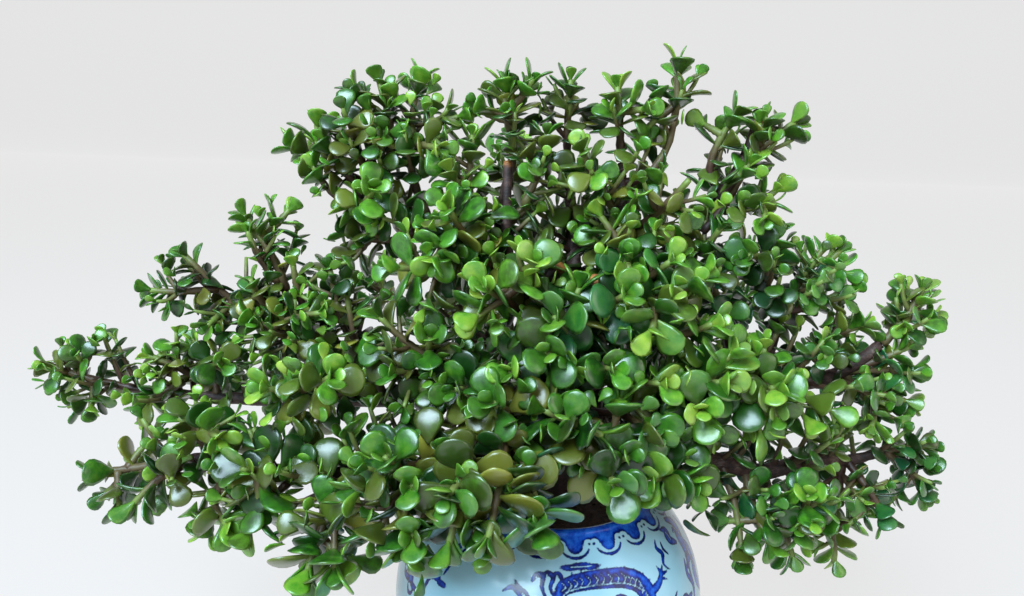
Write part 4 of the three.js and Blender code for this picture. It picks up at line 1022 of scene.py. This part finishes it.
for order, (name, *ways) in enumerate(MIDDLE_SHOOTS):
    chance = random.Random(300 + order)
    spray = by_name[name]
    for way in ways:
        course = through([Vector(spot) for spot in way], 6)
        shoot = (course, Vector((1, 0, 0.2)), 1.6)
        leafy(spray, shoot, PAIRS + FILLING_PAIRS, spray["leaf"], chance.randrange(2), chance, 5)
        spray["shoots"].append(shoot)
        for back in (15, 22, 29, 36, 43):
            if back > length_of(course) - 4:
                break
            centre, along = station(course, back)
            for side in square_frame(along, Vector((1, 0, 0.2))):
                away = (along * 0.5 + side * chance.choice((1, -1))).normalized()
                twiglet = twig(centre, away, chance.uniform(14, 22), 0.4)
                keep_if_leafy(spray, (twiglet, along, 1.1), spray["leaf"] * 0.95, chance)

# Last the short sprouts straight from the limbs, which join the nearest spray of that limb.
for order, (name, course) in enumerate(courses.items()):
    if name == "cut_stub":
        continue
    chance = random.Random(500 + order)
    near = [spray for spray in sprays if spray["limb"] == name] or sprays
    total = length_of(course)
    back = 6
    while back < total - 22:
        centre, along = station(course, back)
        back += chance.uniform(4, 7)
        turn = chance.uniform(0, 2 * math.pi)
        sides = square_frame(along, Vector((0.1, 0.2, 1)))
        side = sides[0] * math.cos(turn) + sides[1] * math.sin(turn)
        if side.z < -0.5:
            side.z = -side.z
        size = chance.uniform(14, 34)
        sprout = twig(centre, (along * 0.35 + side).normalized(), size, 0.45)
        if not clear_of_jar(sprout[-1], 8):
            continue
        spray = min(near, key=lambda one: (one["foot"] - centre).length)
        keep_if_leafy(spray, (sprout, sides[0], 1.3), 16, chance)


# Succulent leaf skin: fresh mid green, yellower on young leaves and at the thin translucent rim,
# waxy and glossy, so that it takes soft bright highlights. Three finishes: two greens, and a shaded
# copy whose darker greens are painted shade.
def leaf_skin(name, deep, full, fresh, pale):
    """One finish of the leaves, from its four greens."""
    material, tree, place = new_material(name)
    age, tint, rim, blade = [marked(tree, kind) for kind in ("age", "tint", "rim", "blade")]
    fine = mottle(tree, place, 190, 4, 0.6)
    shift = maths(tree, "MULTIPLY_ADD", tint, 0.5, age)
    shift = maths(tree, "MULTIPLY_ADD", fine, 0.7, shift)
    green = shades(tree, shift, (0.38, fresh), (0.78, full), (1.15, deep))
    blue = spread(tree, tint, (0.3, 0.05), (0, 0.6))
    cool = blend(tree, blue, green, linear("#0f5534"))
    gold = spread(tree, tint, (0.68, 1), (0, 0.7))
    gold = maths(tree, "MULTIPLY", gold, age)
    warm = blend(tree, gold, cool, linear("#aaa43c"))
    thin = maths(tree, "POWER", rim, 7)
    thin = maths(tree, "MULTIPLY", thin, 0.12)
    edged = blend(tree, thin, warm, linear(pale))
    neck = spread(tree, blade, (0.3, 0), (0, 0.3))
    colour = blend(tree, neck, edged, linear(pale))
    matt = spread(tree, fine, (0, 1), (0.26, 0.48))
    cellular = mottle(tree, place, 700, 3)
    pitted = relief(tree, cellular, 0.15, 0.0003)
    coat_with(tree, {"Base Color": colour, "Roughness": matt, "IOR": 1.45, "Normal": pitted,
                     "Coat Weight": 0.75, "Coat Roughness": 0.27, "Coat IOR": 1.5,
                     "Subsurface Weight": 0.12, "Subsurface Radius": (0.5, 1, 0.2),
                     "Subsurface Scale": 0.0015})
    return material


LEAF_SKINS = (("leaf", leaf_skin("waxy_jade_leaf", "#184309", "#43801a", "#93b436", "#a3b258")),
              ("young_leaf", leaf_skin("young_jade_leaf", "#1f4e0c", "#558c22", "#a2ba40", "#b4bd66")),
              # The shaded finish's darker greens are painted shade.
              ("shade_leaf", leaf_skin("shaded_jade_leaf", "#0f3407", "#2f6612", "#6f952a", "#8b9d44")))

# Shoot skin: green and smooth at the tip, olive brown further back, dark and corky at its foot.
shoot_skin, tree, place = new_material("greening_to_woody_shoot")
age = marked(tree, "age")
fine = mottle(tree, place, 300, 4)
shift = maths(tree, "MULTIPLY_ADD", fine, 0.3, age)
colour = shades(tree, shift, (0.2, "#6f8539"), (0.42, "#5d5230"), (0.68, "#472c20"), (1.1, "#221714"))
corky = relief(tree, fine, 0.4, 0.0004)
coat_with(tree, {"Base Color": colour, "Roughness": 0.5, "Normal": corky})

for order, spray in enumerate(sprays):
    chance = random.Random(900 + order)
    # Every front spray takes the shaded finish, a painted shade; the other sprays take the three finishes in
    # turn.
    front_painted_shade = spray["name"].startswith("front")
    slot, skin = LEAF_SKINS[2 if front_painted_shade else order % 3]
    runs = []
    for points, _, thick in spray["shoots"]:
        foot = thick * (1.3 if thick > 1.4 else 1.1)
        sizes = [foot + (0.8 * thick - foot) * k / (len(points) - 1) for k in range(len(points))]
        runs.append((points, [size * (1.14 if k % 2 else 0.95) for k, size in enumerate(sizes)]))
    stems = tubes("leafy_spray_" + spray["name"], runs, 6)
    ends = np.array([points[-1] for points, _, _ in spray["shoots"]])
    gaps = np.min(np.linalg.norm(places(stems)[:, None] - ends[None], axis=2), axis=1)
    for kind in ("rim", "blade", "tint"):
        mark(stems, kind, gaps * 0)
    mark(stems, "age", np.clip(gaps / 34, 0, 1))
    stems.data.materials.append(shoot_skin)
    bpy.ops.object.shade_smooth()
    stems.data.materials.append(skin)
    for basis, root, age in spray["leaves"]:
        model = chance.choices(MODELS, (4, 4, 2))[0]
        leaf = model.copy()
        leaf.data = model.data.copy()
        count = len(leaf.data.vertices)
        leaf.data.attributes["age"].data.foreach_set("value", [age] * count)
        # Leaves on the left and at the top, where the window softbox's light falls, draw higher tints, so
        # they turn yellower and seldom blue-green: painted light. Within each range the tint is random.
        painted_sunlit = root.x < -20 or root.z > 250
        tint = min(1, chance.uniform(0.22, 1.1) if painted_sunlit else chance.uniform(0, 0.94))
        leaf.data.attributes["tint"].data.foreach_set("value", [tint] * count)
        leaf.data.materials.append(skin)
        turned = Matrix.Rotation(chance.uniform(-0.2, 0.2), 3, "X")
        leaf.data.transform(Matrix.Translation(root * 0.001) @ (basis @ turned * 0.001).to_4x4())
        bpy.context.collection.objects.link(leaf)
        leaf.select_set(True)
    bpy.ops.object.join()
    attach(stems, "root")
    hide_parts("spray_" + spray["name"])
    bpy.data.batch_remove([mesh for mesh in bpy.data.meshes if mesh.users == 0])
for model in MODELS:
    bpy.data.objects.remove(model)


# The studio. A plain pale sweep of floor and backdrop, a wide cool softbox above and in front on
# the left, as from a window, and a weaker fill from the right.
bpy.ops.object.select_all(action="DESELECT")
bpy.ops.mesh.primitive_plane_add(size=12, location=(0, 0, 0))
floor = bpy.context.object
floor.name = "floor_and_backdrop"
for part in [*floor.data.vertices, *floor.data.polygons]:
    part.select = False
for edge in floor.data.edges:
    edge.select = all(floor.data.vertices[k].co.y > 5 for k in edge.vertices)
    for k in edge.vertices:
        floor.data.vertices[k].select |= edge.select
bpy.ops.object.mode_set(mode="EDIT")
bpy.context.tool_settings.mesh_select_mode = (False, True, False)
for k in range(12):
    lift = math.radians(90 * (k + 0.5) / 12)
    step = (0, 0.16 * math.cos(lift), 0.16 * math.sin(lift))
    bpy.ops.mesh.extrude_region_move(TRANSFORM_OT_translate={"value": step})
bpy.ops.mesh.extrude_region_move(TRANSFORM_OT_translate={"value": (0, 0, 3)})
bpy.context.tool_settings.mesh_select_mode = (True, False, False)
bpy.ops.object.mode_set(mode="OBJECT")
bpy.ops.object.shade_smooth()
material, tree, place = new_material("plain_pale_paper")
grainy = mottle(tree, place, 900)
paper = shades(tree, grainy, (0.3, "#5a5a5a"), (0.7, "#5d5d5d"))
coat_with(tree, {"Base Color": paper, "Roughness": 0.9, "Emission Color": linear("#e9e9e9"),
                 "Emission Strength": 0.88})
floor.data.materials.append(material)

world = bpy.data.worlds.new("pale_studio_air")
bpy.context.scene.world = world
world.use_nodes = True
world.node_tree.nodes["Background"].inputs["Color"].default_value = linear("#e9e9e9")
world.node_tree.nodes["Background"].inputs["Strength"].default_value = 0.42
LAMPS = (("window_softbox", (-0.5, -0.85, 1.15), (0, 0, 0.22), 0.85, 46, "#cfeaff"),
         ("fill_softbox", (0.9, -0.6, 0.7), (0, 0, 0.2), 0.6, 3, "#fff6ea"))
for name, spot, aim, size, power, code in LAMPS:
    bpy.ops.object.light_add(type="AREA", location=spot)
    lamp = bpy.context.object
    lamp.name = name
    lamp.data.shape = "SQUARE"
    lamp.data.size = size
    lamp.data.energy = power
    lamp.data.color = linear(code)[:3]
    lamp.rotation_euler = (Vector(aim) - Vector(spot)).to_track_quat("-Z", "Y").to_euler()
